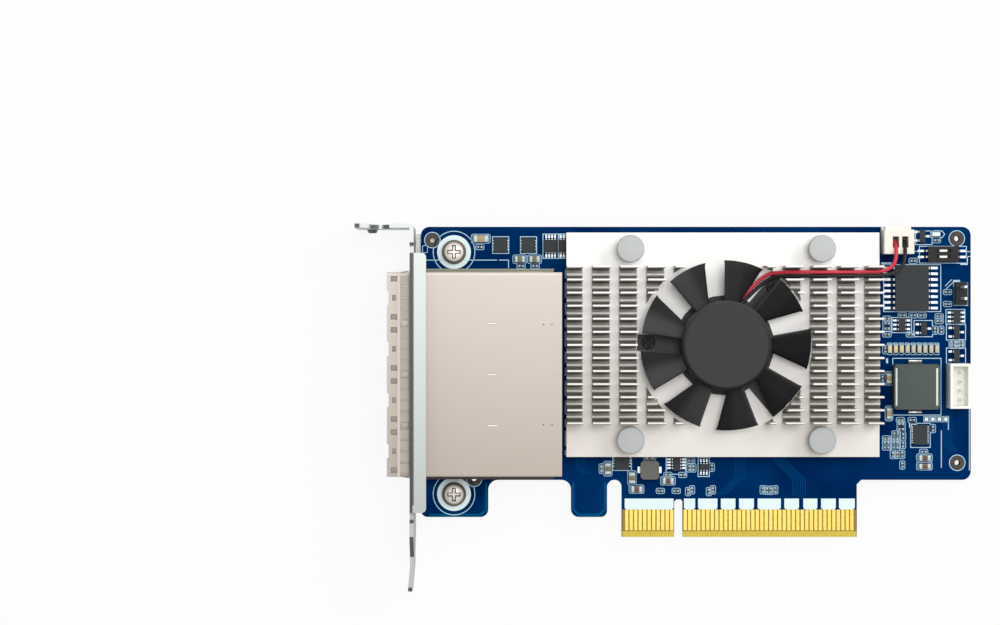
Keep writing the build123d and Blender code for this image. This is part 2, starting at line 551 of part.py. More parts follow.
# Sleeve bearing, pressed into the tube.
with BuildPart() as fan_bearing:
    place_prism(FAN_X, FAN_Y, TUBE_BORE_R, BEARING_LOW, TUBE_TOP, SMALL_SIDES)
    place_prism(FAN_X, FAN_Y, BEARING_BORE_R, BEARING_LOW, TUBE_TOP, BORE_SIDES, mode=Mode.SUBTRACT)


# Fan rotor: a cup with a bevelled rim and nine blades. Each blade is two flat panels that meet
# along its middle; it is high on its anticlockwise edge and widens towards its tip.
def blade_plane(angle, tip, height):
    """A plane along a blade: u points outwards and v clockwise, tipped down by an angle."""
    turn = radians(angle)
    outward = Vector(cos(turn), sin(turn), 0)
    clockwise = Vector(sin(turn), -cos(turn), 0)
    down = clockwise * cos(radians(tip)) - Vector(0, 0, sin(radians(tip)))
    return Plane(origin=(FAN_X, FAN_Y, height), x_dir=outward, z_dir=outward.cross(down))


with BuildPart() as fan_rotor:
    for i in range(BLADES):
        angle = FIRST_BLADE + 360 / BLADES * i
        for tip, corners in BLADE_PANELS:
            with BuildSketch(blade_plane(angle, tip, BLADE_Z)):
                Polygon(*corners, align=None)
            extrude(amount=BLADE_T / 2, both=True)
    place_prism(FAN_X, FAN_Y, HUB_R, HUB_LOW, HUB_TOP - HUB_RIM, HUB_SIDES)
    with BuildSketch(Plane.XY.offset(HUB_TOP - HUB_RIM)):
        with Locations((FAN_X, FAN_Y)):
            RegularPolygon(HUB_R, HUB_SIDES)
    extrude(amount=HUB_RIM, taper=45)
    place_prism(FAN_X, FAN_Y, HUB_R - HUB_WALL, HUB_LOW, HUB_CEILING, HUB_SIDES, mode=Mode.SUBTRACT)
    place_prism(FAN_X, FAN_Y, HUB_BOSS_R, HUB_BOSS_LOW, HUB_CEILING, SMALL_SIDES)
    with Locations((FAN_X, FAN_Y, SHAFT_TOP)):
        Cylinder(SHAFT_R, 5, align=(Align.CENTER, Align.CENTER, Align.MAX), mode=Mode.SUBTRACT)

with BuildPart() as rotor_magnet:
    place_prism(FAN_X, FAN_Y, MAGNET_R, MAGNET_Z0, MAGNET_Z1, HEAD_SIDES)
    place_prism(FAN_X, FAN_Y, MAGNET_BORE_R, MAGNET_Z0, MAGNET_Z1, HEAD_SIDES, mode=Mode.SUBTRACT)

with BuildPart() as rotor_shaft:
    with Locations((FAN_X, FAN_Y, SHAFT_LOW)):
        Cylinder(SHAFT_R, SHAFT_TOP - SHAFT_LOW, align=(Align.CENTER, Align.CENTER, Align.MIN))

with BuildPart() as shaft_clip:
    place_prism(FAN_X, FAN_Y, CLIP_R, CLIP_Z, CLIP_Z + CLIP_T, SMALL_SIDES)
    clip_bore_r = (SHAFT_R + 0.005) / cos(radians(180 / SMALL_SIDES))
    place_prism(FAN_X, FAN_Y, clip_bore_r, CLIP_Z, CLIP_Z + CLIP_T, SMALL_SIDES, mode=Mode.SUBTRACT)


# Fan leads: a limp pair from the driver board, up into the first channel between the fins,
# along it, and down into the plug. Each route is a list of points and the radius at each turn.
red_route = [
    (11.3, 50.9, 5.75),
    (14.9, 54.6, 5.7),
    (18.7, 58.25, 6.0),
    (21.9, 58.72, 7.2),
    (25.4, 58.75, 9.5),
    (32.0, 58.7, 10.6),
    (39.5, 58.74, 10.5),
    (44.6, 58.8, 9.2),
    (47.2, 60.6, 7.6),
    (47.4, 64.2, 7.2),
    (47.4, 65.6, 4.6),
]
black_route = [
    (12.0, 50.35, 5.75),
    (15.6, 54.05, 5.7),
    (19.6, 57.55, 6.0),
    (22.7, 57.88, 7.3),
    (26.2, 57.85, 9.4),
    (32.8, 57.9, 10.6),
    (40.2, 57.87, 10.5),
    (45.6, 57.95, 9.2),
    (49.0, 60.0, 7.7),
    (49.42, 64.1, 7.2),
    (49.45, 65.5, 4.6),
]


def turn_radii(route):
    """The largest radius that the two runs at each turn allow."""
    radii = []
    for before, here, after in zip(route, route[1:], route[2:]):
        first, second = Vector(*here) - Vector(*before), Vector(*after) - Vector(*here)
        half_turn = radians(first.get_angle(second)) / 2
        radii.append(0.45 * min(first.length, second.length) / tan(half_turn))
    return radii


def lead(route):
    """A tube of six flats along straight runs and tangent arcs."""
    radii = turn_radii(route)
    with BuildPart() as tube:
        with BuildLine() as path:
            FilletPolyline(*route, radius=radii)
        with BuildSketch(Plane(origin=route[0], z_dir=path.line % 0)) as section:
            RegularPolygon(LEAD_D / 2, 6)
        sweep()
    run = sum(edge.length for edge in path.edges())
    ratio = tube.part.volume / (section.sketch.area * run)
    print(f"lead {run:.1f} mm, volume over section times length {ratio:.3f}, least radius {min(radii):.2f}")
    return tube


red_lead = lead(red_route)
black_lead = lead(black_route)


# Fan plug: a block with two windows for the crimped ends of the leads.
with BuildPart() as fan_plug:
    place_box(PLUG_X0, PLUG_X1, PLUG_Y0, PLUG_Y1, PLUG_Z0, PLUG_Z1)
    for x in PLUG_WINDOW_X:
        x0 = x - PLUG_WINDOW_W / 2
        z0 = PLUG_Z1 - PLUG_WINDOW_DEPTH
        place_box(x0, x0 + PLUG_WINDOW_W, PLUG_WINDOW_Y0, PLUG_WINDOW_Y1, z0, PLUG_Z1, mode=Mode.SUBTRACT)

# Fan header: a floor on the board and a back wall behind the plug, with two pins.
with BuildPart() as fan_header:
    place_box(PLUG_X0, PLUG_X1, PLUG_Y0 + 0.3, BOARD_TOP - 0.1, 0, PLUG_Z0)
    place_box(PLUG_X0 + 0.5, PLUG_X1 - 0.5, PLUG_Y1, BOARD_TOP - 0.1, PLUG_Z0, 4.2)

PIN_SIDE = 0.5


def header_pins(places, z0, z1):
    """Square pins at (x, y) places, from z0 to z1."""
    with BuildPart() as pins:
        for x, y in places:
            place_box(x - PIN_SIDE / 2, x + PIN_SIDE / 2, y - PIN_SIDE / 2, y + PIN_SIDE / 2, z0, z1)
    return pins


fan_header_pins = header_pins([(x, 65.4) for x in PLUG_WINDOW_X], -2.6, 3.4)

# Serial header: an open box with four pins.
SERIAL = (59.45, 63.95, 28.7, 38.6)
SERIAL_H, SERIAL_WALL, SERIAL_FLOOR = 6.0, 0.6, 1.4
with BuildPart() as serial_header:
    x0, x1, y0, y1 = SERIAL
    place_box(x0, x1, y0, y1, 0, SERIAL_H)
    place_box(
        x0 + SERIAL_WALL, x1 - SERIAL_WALL, y0 + SERIAL_WALL, y1 - SERIAL_WALL, SERIAL_FLOOR, SERIAL_H,
        mode=Mode.SUBTRACT,
    )
serial_pins = header_pins([(62.0, 36.65 - 2.0 * i) for i in range(4)], -2.6, 5.0)

# Jumper header: a plain block with two long pins.
with BuildPart() as jumper_header:
    place_box(61.2, 63.8, 51.55, 56.6, 0, 2.5)
jumper_pins = header_pins([(62.45, 52.95), (62.45, 55.5)], -2.6, 8.4)


# DIP switch: a body with two grooves, a slider in each, and four leads.
DIP = (55.17, 61.87, 61.11, 64.52)
DIP_Z0, DIP_Z1 = 0.15, 2.3
SLIDER_Y = [63.54, 62.2]
SLIDER_X, SLIDER_L, SLIDER_W = 58.47, 1.7, 0.5
GROOVE_L, GROOVE_SHIFT, GROOVE_W, GROOVE_DEPTH = 3.1, 0.1, 0.74, 0.8
with BuildPart() as dip_switch:
    place_box(DIP[0], DIP[1], DIP[2], DIP[3], DIP_Z0, DIP_Z1)
    for y in SLIDER_Y:
        x0 = SLIDER_X + GROOVE_SHIFT - GROOVE_L / 2
        y0 = y - GROOVE_W / 2
        place_box(x0, x0 + GROOVE_L, y0, y0 + GROOVE_W, DIP_Z1 - GROOVE_DEPTH, DIP_Z1, mode=Mode.SUBTRACT)


def dip_slider(y):
    """A slider with a bevelled top, standing in its groove."""
    with BuildPart() as slider:
        z0 = DIP_Z1 - GROOVE_DEPTH + 0.02
        place_box(SLIDER_X - SLIDER_L / 2, SLIDER_X + SLIDER_L / 2, y - SLIDER_W / 2, y + SLIDER_W / 2, z0, DIP_Z1 + 0.15)
        chamfer(slider.edges().group_by(Axis.Z)[-1], 0.08)
    return slider


dip_slider_1 = dip_slider(SLIDER_Y[1])
dip_slider_2 = dip_slider(SLIDER_Y[0])


def side_lead(x_in, x_out, y, width, height):
    """A lead that leaves a body at x_in and height, and stands on the board at x_out."""
    sign = 1 if x_out > x_in else -1
    sheet = 0.2
    with BuildSketch(Plane.XZ.offset(-y)) as profile:
        Polygon(
            (x_in, height - 2 * sheet),
            (x_in + sign * 0.45, 0),
            (x_out, 0),
            (x_in, height),
            align=None,
        )
    extrude(profile.sketch, amount=width / 2, both=True)


with BuildPart() as dip_leads:
    for y in SLIDER_Y:
        side_lead(DIP[0], DIP[0] - 1.3, y, 0.45, 0.9)
        side_lead(DIP[1], DIP[1] + 1.3, y, 0.45, 0.9)


# Sixteen-lead chip.
WIDE_X, WIDE_Y, WIDE_L, WIDE_W, WIDE_H = 51.56, 55.3, 7.4, 10.2, 2.45
WIDE_PITCH = 1.27
with BuildPart() as wide_chip:
    place_box(WIDE_X - WIDE_L / 2, WIDE_X + WIDE_L / 2, WIDE_Y - WIDE_W / 2, WIDE_Y + WIDE_W / 2, 0.15, WIDE_H)
with BuildPart() as wide_chip_leads:
    for i in range(8):
        y = WIDE_Y + WIDE_PITCH * (i - 3.5)
        side_lead(WIDE_X - WIDE_L / 2, WIDE_X - WIDE_L / 2 - 1.5, y, 0.5, 1.3)
        side_lead(WIDE_X + WIDE_L / 2, WIDE_X + WIDE_L / 2 + 1.5, y, 0.5, 1.3)


LEAD_REACH, LEAD_RISE, LEAD_W = 0.7, 0.5, 0.32


def blocks(places, z0):
    """Plain bodies on the board: each place is (x, y, length along X, width along Y, height)."""
    with BuildPart() as bodies:
        for x, y, length, width, height in places:
            place_box(x - length / 2, x + length / 2, y - width / 2, y + width / 2, z0, height)
    return bodies


def leads_beside(places):
    """Leads that slope to the board: (x, y, half length, side signs, pitch, count, along X)."""
    with BuildPart() as feet:
        for x, y, half, sides, pitch, count, along_x in places:
            for side in sides:
                slope = [(side * half, 0), (side * (half + LEAD_REACH), 0), (side * half, LEAD_RISE)]
                for i in range(count):
                    shift = pitch * (i - (count - 1) / 2)
                    place = Plane.XZ.offset(-y - shift) if along_x else Plane.YZ.offset(x + shift)
                    with BuildSketch(place):
                        with Locations((x if along_x else y, 0)):
                            Polygon(*slope, align=None)
                    extrude(amount=LEAD_W / 2, both=True)
    return feet


# Small leaded chips: two by the top edge, two below the heat sink, two six-lead ones at the right.
small_chips = blocks(
    [
        (-28.4, 64.6, 2.9, 2.9, 1.0),
        (-25.15, 64.6, 2.9, 2.9, 1.0),
        (-0.45, 16.3, 1.7, 3.0, 1.0),
        (5.63, 15.6, 1.95, 1.4, 0.95),
        (61.7, 48.9, 1.5, 2.8, 1.05),
        (49.55, 47.15, 1.5, 2.8, 1.05),
    ],
    0.1,
)
small_chip_leads = leads_beside(
    [
        (-28.4, 64.6, 1.45, (-1, 1), 0.65, 4, False),
        (-25.15, 64.6, 1.45, (-1, 1), 0.65, 4, False),
        (-0.45, 16.3, 0.85, (-1, 1), 0.65, 4, True),
        (5.63, 15.6, 0.7, (-1, 1), 0.65, 3, False),
        (61.7, 48.9, 0.75, (-1, 1), 0.95, 3, True),
        (49.55, 47.15, 0.75, (-1, 1), 0.95, 3, True),
    ]
)

# Leadless chips.
leadless_chips = blocks(
    [
        (-39.5, 64.85, 3.05, 3.1, 0.9),
        (-33.3, 64.85, 3.05, 3.1, 0.9),
        (-12.6, 16.7, 3.3, 3.3, 0.9),
        (53.65, 22.75, 3.1, 4.4, 0.9),
    ],
    0,
)

# Transistors: two leads on the left and one on the right.
TRANSISTORS = [(54.05, 66.8), (61.7, 45.5), (61.7, 40.25), (54.4, 46.3)]
transistors = blocks([(x, y, 1.25, 2.8, 1.05) for x, y in TRANSISTORS], 0.1)
transistor_leads = leads_beside(
    [(x, y, 0.625, (-1,), 1.9, 2, True) for x, y in TRANSISTORS]
    + [(x, y, 0.625, (1,), 0, 1, True) for x, y in TRANSISTORS]
)

# Power inductors: pressed blocks with a terminal at each end.
LARGE_COIL = (52.42, 33.45)
with BuildPart() as large_inductor:
    with BuildSketch(Plane.XY.offset(0.2)):
        with Locations(LARGE_COIL):
            Rectangle(10.1, 10.0)
    extrude(amount=3.8)
    chamfer(large_inductor.edges().group_by(Axis.Z)[-1], 0.35)
large_inductor_terminals = blocks([(LARGE_COIL[0], LARGE_COIL[1] + s * 5.5, 3.1, 1.0, 1.2) for s in (-1, 1)], 0)

SMALL_COIL = (-6.45, 14.95)
with BuildPart() as small_inductor:
    with BuildSketch(Plane.XY.offset(0.1)):
        with Locations(SMALL_COIL):
            Rectangle(4.1, 4.1)
        chamfer(vertices(), 0.5)
    extrude(amount=1.9)
small_inductor_terminals = blocks([(SMALL_COIL[0] + s * 2.35, SMALL_COIL[1], 0.6, 1.4, 0.5) for s in (-1, 1)], 0)

# Ceramic capacitors, by size: (x, y, length along X, width along Y, height).
row_of_nine = [(46.88 + 1.31 * i, 41.8, 0.95, 1.75, 0.9) for i in range(9)]
ceramic_capacitors = blocks(
    row_of_nine
    + [
        (-43.9, 66.25, 3.2, 1.5, 1.3),
        (-35.25, 61.7, 2.1, 1.4, 1.0),
        (-31.98, 61.7, 2.1, 1.4, 1.0),
        (54.6, 17.57, 2.5, 1.3, 1.1),
        (54.6, 15.72, 2.5, 1.2, 1.1),
        (-15.7, 15.2, 1.4, 2.3, 1.1),
        (-10.35, 13.15, 1.4, 2.2, 1.1),
        (-9.33, 10.65, 2.3, 1.4, 1.1),
        (-2.36, 12.5, 2.3, 1.4, 1.1),
        (46.7, 35.25, 1.2, 2.0, 0.9),
        (46.75, 27.45, 1.2, 2.3, 0.9),
        (-17.1, 15.2, 0.6, 1.2, 0.5),
        (-6.4, 17.6, 1.7, 0.8, 0.5),
    ],
    0,
)

# Chip resistors and like small parts: lying along X, then standing along Y.
ALONG_X = [
    (-44.1, 64.4), (-34.95, 60.2), (-31.85, 60.2), (57.3, 65.9), (52.1, 61.35), (59.76, 54.4), (59.76, 51.76),
    (49.7, 49.25), (52.1, 49.25), (54.1, 49.25), (46.3, 48.5), (46.3, 47.45), (46.3, 46.3), (46.3, 45.0),
    (57.9, 49.0), (57.9, 47.95), (61.0, 43.3), (62.7, 43.3), (61.0, 42.45), (62.7, 42.45), (51.5, 45.0),
    (-4.03, 10.26), (-0.5, 10.26), (-2.34, 13.8), (0.92, 13.8), (2.7, 17.0), (49.3, 26.0), (51.9, 26.0),
    (49.45, 25.1), (49.45, 23.95), (48.3, 23.0), (46.2, 21.9), (46.2, 21.0), (46.2, 19.9), (48.2, 21.9),
    (48.2, 21.0), (48.2, 19.9), (54.45, 18.95),
]
ALONG_Y = [
    (2.12, 10.1), (3.0, 10.5), (6.74, 10.1), (7.65, 10.5), (18.7, 10.5), (19.66, 10.4), (20.45, 10.4), (21.5, 10.5),
    (2.43, 15.36), (3.3, 15.36), (7.4, 15.5), (49.9, 22.45), (49.85, 20.55), (47.6, 18.35), (48.6, 18.35),
    (49.7, 18.35), (49.7, 16.0), (56.5, 24.1), (56.95, 45.95), (58.35, 45.95), (45.9, 41.6), (45.3, 35.2),
]
chip_resistors = blocks(
    [(x, y, 1.0, 0.5, 0.38) for x, y in ALONG_X] + [(x, y, 0.5, 1.0, 0.38) for x, y in ALONG_Y],
    0,
)
status_led = blocks([(57.2, 67.25, 1.7, 0.85, 0.7)], 0)


pieces = {
    "circuit_board": circuit_board,
    "edge_contacts": edge_contacts,
    "bracket": bracket,
    "bracket_screws": bracket_screws,
    "cage_cover": cage_cover,
    "cage_base": cage_base,
    "cage_dividers": cage_dividers,
    "spring_fingers": spring_fingers,
    "receptacle_housings": receptacle_housings,
    "controller_chip": controller_chip,
    "thermal_pad": thermal_pad,
    "heat_sink": heat_sink,
    "push_pins": push_pins,
    "push_pin_springs": push_pin_springs,
    "fan_base": fan_base,
    "fan_screws": fan_screws,
    "fan_driver_board": fan_driver_board,
    "stator_core": stator_core,
    "stator_coils": stator_coils,
    "fan_bearing": fan_bearing,
    "fan_rotor": fan_rotor,
    "rotor_magnet": rotor_magnet,
    "rotor_shaft": rotor_shaft,
    "shaft_clip": shaft_clip,
    "red_lead": red_lead,
    "black_lead": black_lead,
    "fan_plug": fan_plug,
    "fan_header": fan_header,
    "fan_header_pins": fan_header_pins,
    "serial_header": serial_header,
    "serial_pins": serial_pins,
    "jumper_header": jumper_header,
    "jumper_pins": jumper_pins,
    "dip_switch": dip_switch,
    "dip_slider_1": dip_slider_1,
    "dip_slider_2": dip_slider_2,
    "dip_leads": dip_leads,
    "wide_chip": wide_chip,
    "wide_chip_leads": wide_chip_leads,
    "small_chips": small_chips,
    "small_chip_leads": small_chip_leads,
    "leadless_chips": leadless_chips,
    "transistors": transistors,
    "transistor_leads": transistor_leads,
    "large_inductor": large_inductor,
    "large_inductor_terminals": large_inductor_terminals,
    "small_inductor": small_inductor,
    "small_inductor_terminals": small_inductor_terminals,
    "ceramic_capacitors": ceramic_capacitors,
    "chip_resistors": chip_resistors,
    "status_led": status_led,
}

os.makedirs("parts", exist_ok=True)
for label, piece in pieces.items():
    piece.part.label = label
    export_step(piece.part, f"parts/{label}.step")
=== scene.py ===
from math import atan, cos, pi, radians, sin, tan

import bmesh
import bpy
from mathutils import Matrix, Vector


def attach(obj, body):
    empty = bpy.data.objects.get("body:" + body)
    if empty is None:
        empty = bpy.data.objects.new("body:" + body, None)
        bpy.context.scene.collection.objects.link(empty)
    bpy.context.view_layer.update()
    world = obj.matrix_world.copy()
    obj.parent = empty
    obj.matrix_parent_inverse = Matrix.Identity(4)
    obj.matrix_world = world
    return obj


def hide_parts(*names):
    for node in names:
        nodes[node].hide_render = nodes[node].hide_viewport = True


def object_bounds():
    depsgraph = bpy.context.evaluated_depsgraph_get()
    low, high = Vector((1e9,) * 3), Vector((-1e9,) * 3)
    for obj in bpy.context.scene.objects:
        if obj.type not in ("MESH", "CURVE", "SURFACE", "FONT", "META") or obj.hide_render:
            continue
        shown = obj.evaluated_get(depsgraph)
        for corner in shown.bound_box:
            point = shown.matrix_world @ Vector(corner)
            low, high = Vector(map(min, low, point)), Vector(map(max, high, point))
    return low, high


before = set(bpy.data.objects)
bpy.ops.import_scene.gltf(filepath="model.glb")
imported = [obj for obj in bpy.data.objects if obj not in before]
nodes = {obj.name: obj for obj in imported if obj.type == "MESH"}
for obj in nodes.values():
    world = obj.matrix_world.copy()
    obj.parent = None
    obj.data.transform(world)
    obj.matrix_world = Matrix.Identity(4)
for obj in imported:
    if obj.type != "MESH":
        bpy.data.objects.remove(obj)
cad_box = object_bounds()
MM = 0.001

# Camera: straight above the card, at the photograph's distance.
CAMERA_X, CAMERA_Y, CAMERA_Z, LENS, SENSOR = -39.64, 49.87, 620, 100.5, 36
camera = bpy.data.objects.new("camera", bpy.data.cameras.new("camera"))
camera.data.lens = LENS
camera.data.sensor_width = SENSOR
camera.location = (CAMERA_X * MM, CAMERA_Y * MM, CAMERA_Z * MM)
bpy.context.collection.objects.link(camera)
bpy.context.scene.camera = camera

# Places that both looks and shapes use, in millimetres and degrees.
FAN_X, FAN_Y, BLADES = 9.75, 42.65, 9
BLADE_SHADE_START, BLADE_SHADE_R = 107, 10.1
SINK_X, SINK_Y, FIN_PITCH, FIN_TOP = 9.55, 42.76, 2.848, 12.0
FIN_EDGE_Y, FIN_EDGE_SHARE = SINK_Y - 0.25, 0.05
CAGE_LOW, CAGE_HIGH = 14, 59
FALL_LOW, FALL_HIGH = 8, 62
BEND_SHADE = {"X": (-59.6, -58.35), "Y": (8.0, 62.9), "Z": (13.8, 20.0)}
BOARD_T = 1.57
WHITE = (1, 1, 1, 1)


# Materials
def grey(level):
    """A linear grey."""
    return (level, level, level, 1)


def linear(red, green, blue):
    """A colour as seen on screen, 0 to 255, as the renderer's linear colour."""
    parts = [part / 255 for part in (red, green, blue)]
    return (*[p / 12.92 if p <= 0.04045 else ((p + 0.055) / 1.055) ** 2.4 for p in parts], 1.0)


def shade(colour, factor):
    """The same colour, darker or lighter."""
    return tuple(min(1.0, part * factor) for part in colour[:3]) + (1.0,)


def tones(*stops):
    """Stops for a ramp, from colours as seen on screen."""
    return [(place, linear(*colour)) for place, colour in stops]


def set_inputs(tree, node, inputs):
    """Gives a node's inputs: numbers, colours, or sockets of other nodes."""
    for name, value in inputs.items():
        if isinstance(value, bpy.types.NodeSocket):
            tree.links.new(value, node.inputs[name])
        else:
            node.inputs[name].default_value = value
    return node


def add_node(tree, kind, inputs):
    """A new node with its inputs."""
    return set_inputs(tree, tree.nodes.new(kind), inputs)


def place_along(tree, axis):
    """The place on the object along an axis, in metres."""
    place = tree.nodes.new("ShaderNodeTexCoord").outputs["Object"]
    return add_node(tree, "ShaderNodeSeparateXYZ", {"Vector": place}).outputs[axis]


def normal_along(tree, axis):
    """How far the surface's own normal turns along an axis, -1 to 1."""
    normal = tree.nodes.new("ShaderNodeNewGeometry").outputs["Normal"]
    return add_node(tree, "ShaderNodeSeparateXYZ", {"Vector": normal}).outputs[axis]


def map_range(tree, value, low, high, to_low=0.0, to_high=1.0):
    """Maps a value from one range to another and keeps it inside."""
    inputs = {"Value": value, "From Min": low, "From Max": high}
    inputs |= {"To Min": to_low, "To Max": to_high}
    return add_node(tree, "ShaderNodeMapRange", inputs).outputs["Result"]


def calculate(tree, operation, first, second=0.0):
    """A sum on a value socket and another socket or a number."""
    node = tree.nodes.new("ShaderNodeMath")
    node.operation = operation
    return set_inputs(tree, node, {0: first, 1: second}).outputs[0]


def normal_size(tree, axis):
    """How far the surface's own normal turns towards an axis, 0 to 1, either way."""
    return calculate(tree, "ABSOLUTE", normal_along(tree, axis))


def by_normal(tree, axis, low, high):
    """0 to 1 as the surface's own normal turns along an axis from one size to another."""
    return map_range(tree, normal_size(tree, axis), low, high)


def along_y(tree, low, high):
    """0 to 1 between two places along Y, in millimetres."""
    return map_range(tree, place_along(tree, "Y"), low * MM, high * MM)


def within(tree, **limits):
    """1 inside a box given by its lower and upper places in millimetres, 0 outside."""
    inside = 1.0
    for axis, (low, high) in limits.items():
        for test, limit in (("GREATER_THAN", low), ("LESS_THAN", high)):
            passed = calculate(tree, test, place_along(tree, axis), limit * MM)
            inside = calculate(tree, "MULTIPLY", passed, inside)
    return inside


def repeated(tree, start, pitch):
    """0 to 1 over each pitch along Y, from a start in millimetres."""
    moved = calculate(tree, "SUBTRACT", place_along(tree, "Y"), start * MM)
    return calculate(tree, "FRACT", calculate(tree, "DIVIDE", moved, pitch * MM))


def mapped_noise(tree, scale, stretch=(1, 1, 1), detail=3.0):
    """Noise in object space, stretched along the axes."""
    place = tree.nodes.new("ShaderNodeTexCoord").outputs["Object"]
    mapping = add_node(tree, "ShaderNodeMapping", {"Vector": place, "Scale": stretch})
    inputs = {"Vector": mapping.outputs["Vector"], "Scale": scale, "Detail": detail}
    return add_node(tree, "ShaderNodeTexNoise", inputs).outputs["Fac"]


def ramp(tree, source, stops):
    """Maps a value to colours: each stop is (place, colour)."""
    node = add_node(tree, "ShaderNodeValToRGB", {"Fac": source})
    elements = node.color_ramp.elements
    elements[0].position, elements[0].color = stops[0]
    elements[1].position, elements[1].color = stops[-1]
    for place, colour in stops[1:-1]:
        elements.new(place).color = colour
    return node.outputs["Color"]


def mix_colours(tree, factor, first, second, blend="MIX"):
    """Mixes two colours; each of the three is a constant or a socket."""
    mix = tree.nodes.new("ShaderNodeMix")
    mix.data_type = "RGBA"
    mix.blend_type = blend
    return set_inputs(tree, mix, {0: factor, 6: first, 7: second}).outputs[2]


def multiply(tree, first, second):
    """The product of two colours."""
    return mix_colours(tree, 1.0, first, second, "MULTIPLY")


def grain_over(tree, colour, noise, low):
    """A colour darkened by noise, from a share of it up to the whole."""
    return multiply(tree, colour, ramp(tree, noise, [(0.3, grey(low)), (0.7, WHITE)]))


def begin(name, roughness, metallic, specular, grain, stretch=(1, 1, 1)):
    """A material with constants on its Principled shader, its node tree, and a noise."""
    material = bpy.data.materials.new(name)
    material.use_nodes = True
    tree = material.node_tree
    inputs = {"Roughness": roughness, "Metallic": metallic, "Specular IOR Level": specular}
    set_inputs(tree, tree.nodes["Principled BSDF"], inputs)
    return material, tree, mapped_noise(tree, grain, stretch)


def complete(material, colour, noise, rough, depth, edge=0.0, relief=None):
    """Gives a material its colour, a roughness that follows the noise between two values,
    and a bump of a depth in millimetres over edges rounded by a radius."""
    tree = material.node_tree
    bump = add_node(tree, "ShaderNodeBump", {"Distance": depth * MM, "Height": relief or noise})
    if edge:
        bevel = add_node(tree, "ShaderNodeBevel", {"Radius": edge * MM})
        set_inputs(tree, bump, {"Normal": bevel.outputs["Normal"]})
    roughness = map_range(tree, noise, 0.0, 1.0, *rough)
    inputs = {"Base Color": colour, "Roughness": roughness, "Normal": bump.outputs["Normal"]}
    set_inputs(tree, tree.nodes["Principled BSDF"], inputs)
    return material


def surface(
    name, colour, roughness, metallic=0.0, spread=0.1, grain=900, stretch=(1, 1, 1), bump=0.004,
    edge=0.0, specular=0.5,
):
    """Colour and roughness that vary with a fine grain, and a light bump."""
    material, tree, noise = begin(name, roughness, metallic, specular, grain, stretch)
    base = linear(*colour)
    tone = ramp(tree, noise, [(0.3, shade(base, 1 - spread)), (0.7, shade(base, 1 + spread))])
    rough = (roughness * 0.85, min(1.0, roughness * 1.15))
    return complete(material, tone, noise, rough, bump, edge)


def facing_metal(name, stops, roughness=0.4, metallic=0.15, grain=1200, fall=1.0, shaded=None):
    """Metal with painted shade: its tone follows how far a surface faces up, falls off towards the
    card edge, and is grey in the shaded box."""
    material, tree, noise = begin(name, roughness, metallic, 0.3, grain)
    tone = ramp(tree, normal_size(tree, "Z"), tones(*stops))
    if shaded:
        tone = mix_colours(tree, within(tree, **shaded), tone, linear(112, 114, 114))
    along = ramp(tree, along_y(tree, FALL_LOW, FALL_HIGH), [(0.0, grey(fall)), (1.0, WHITE)])
    tone = grain_over(tree, multiply(tree, tone, along), noise, 0.95)
    return complete(material, tone, noise, (roughness * 0.85, roughness * 1.15), 0.003)


def solder_mask():
    """Blue mask on the faces, and bare laminate on the cut edges."""
    material, tree, fine = begin("solder_mask_blue", 0.5, 0.0, 0.0, 2600)
    cloud = mapped_noise(tree, 60, detail=2.0)
    blue = ramp(tree, cloud, tones((0.35, (0, 36, 84)), (0.65, (0, 51, 104))))
    laminate = ramp(tree, fine, tones((0.3, (24, 52, 78)), (0.7, (96, 100, 70))))
    tone = mix_colours(tree, by_normal(tree, "Z", 0.3, 0.6), laminate, blue)
    return complete(material, tone, cloud, (0.35, 0.5), 0.003, relief=fine)


def sink_metal():
    """Pale plate and fin tops, with painted shade: grey sides and slopes, a shadow line along each
    fin top's near edge, and a darkening towards the card edge.
    """
    material, tree, noise = begin("sink_metal", 0.5, 0.1, 0.3, 1500, (0.5, 1, 1))
    side, slope, top = (206, 203, 196), (150, 147, 138), (254, 252, 249)
    stops = tones((0.0, side), (0.2, side), (0.3, slope), (0.8, slope), (0.93, top), (1.0, top))
    tone = ramp(tree, normal_size(tree, "Z"), stops)
    tone = mix_colours(tree, by_normal(tree, "X", 0.5, 0.8), tone, linear(196, 193, 187))
    # Painted shadow along the near edge of each fin top.
    line = calculate(tree, "LESS_THAN", repeated(tree, FIN_EDGE_Y, FIN_PITCH), FIN_EDGE_SHARE)
    line = calculate(tree, "MULTIPLY", line, within(tree, Z=(FIN_TOP, FIN_TOP + 1)))
    tone = mix_colours(tree, line, tone, linear(120, 117, 110))
    # Painted shade, darker towards the card edge.
    fall = ramp(tree, along_y(tree, 18, 48), [(0.0, (0.8, 0.775, 0.74, 1)), (1.0, WHITE)])
    tone = grain_over(tree, multiply(tree, tone, fall), noise, 0.97)
    return complete(material, tone, noise, (0.42, 0.56), 0.002)


def ridge_metal():
    """The low ridges: a painted highlight where they face the card edge, and painted shade, grey,
    on the rest.
    """
    material, tree, noise = begin("ridge_metal", 0.5, 0.1, 0.3, 1500)
    flank, top, back, far = (156, 153, 146), (252, 250, 246), (132, 129, 121), (182, 179, 172)
    stops = tones((0.0, flank), (0.22, flank), (0.25, top), (0.49, top), (0.53, back), (0.7, far))
    tone = ramp(tree, map_range(tree, normal_along(tree, "Y"), -1.0, 1.0), stops)
    return complete(material, grain_over(tree, tone, noise, 0.96), noise, (0.42, 0.56), 0.002)


def cage_metal():
    """Warm plated sheet, with painted shade that darkens it towards the card edge, and painted
    highlights along its near rim and along the fold at the far side.
    """
    material, tree, marks = begin("cage_metal", 0.45, 0.12, 0.3, 900, (0.05, 1, 1))
    rim, near, far, fold = (200, 190, 180), (187, 175, 164), (216, 205, 195), (234, 221, 210)
    stops = tones((0.0, rim), (0.01, near), (0.984, far), (0.988, fold), (1.0, fold))
    tone = ramp(tree, along_y(tree, CAGE_LOW, CAGE_HIGH - 0.35), stops)
    return complete(material, grain_over(tree, tone, marks, 0.97), marks, (0.4, 0.52), 0.002)


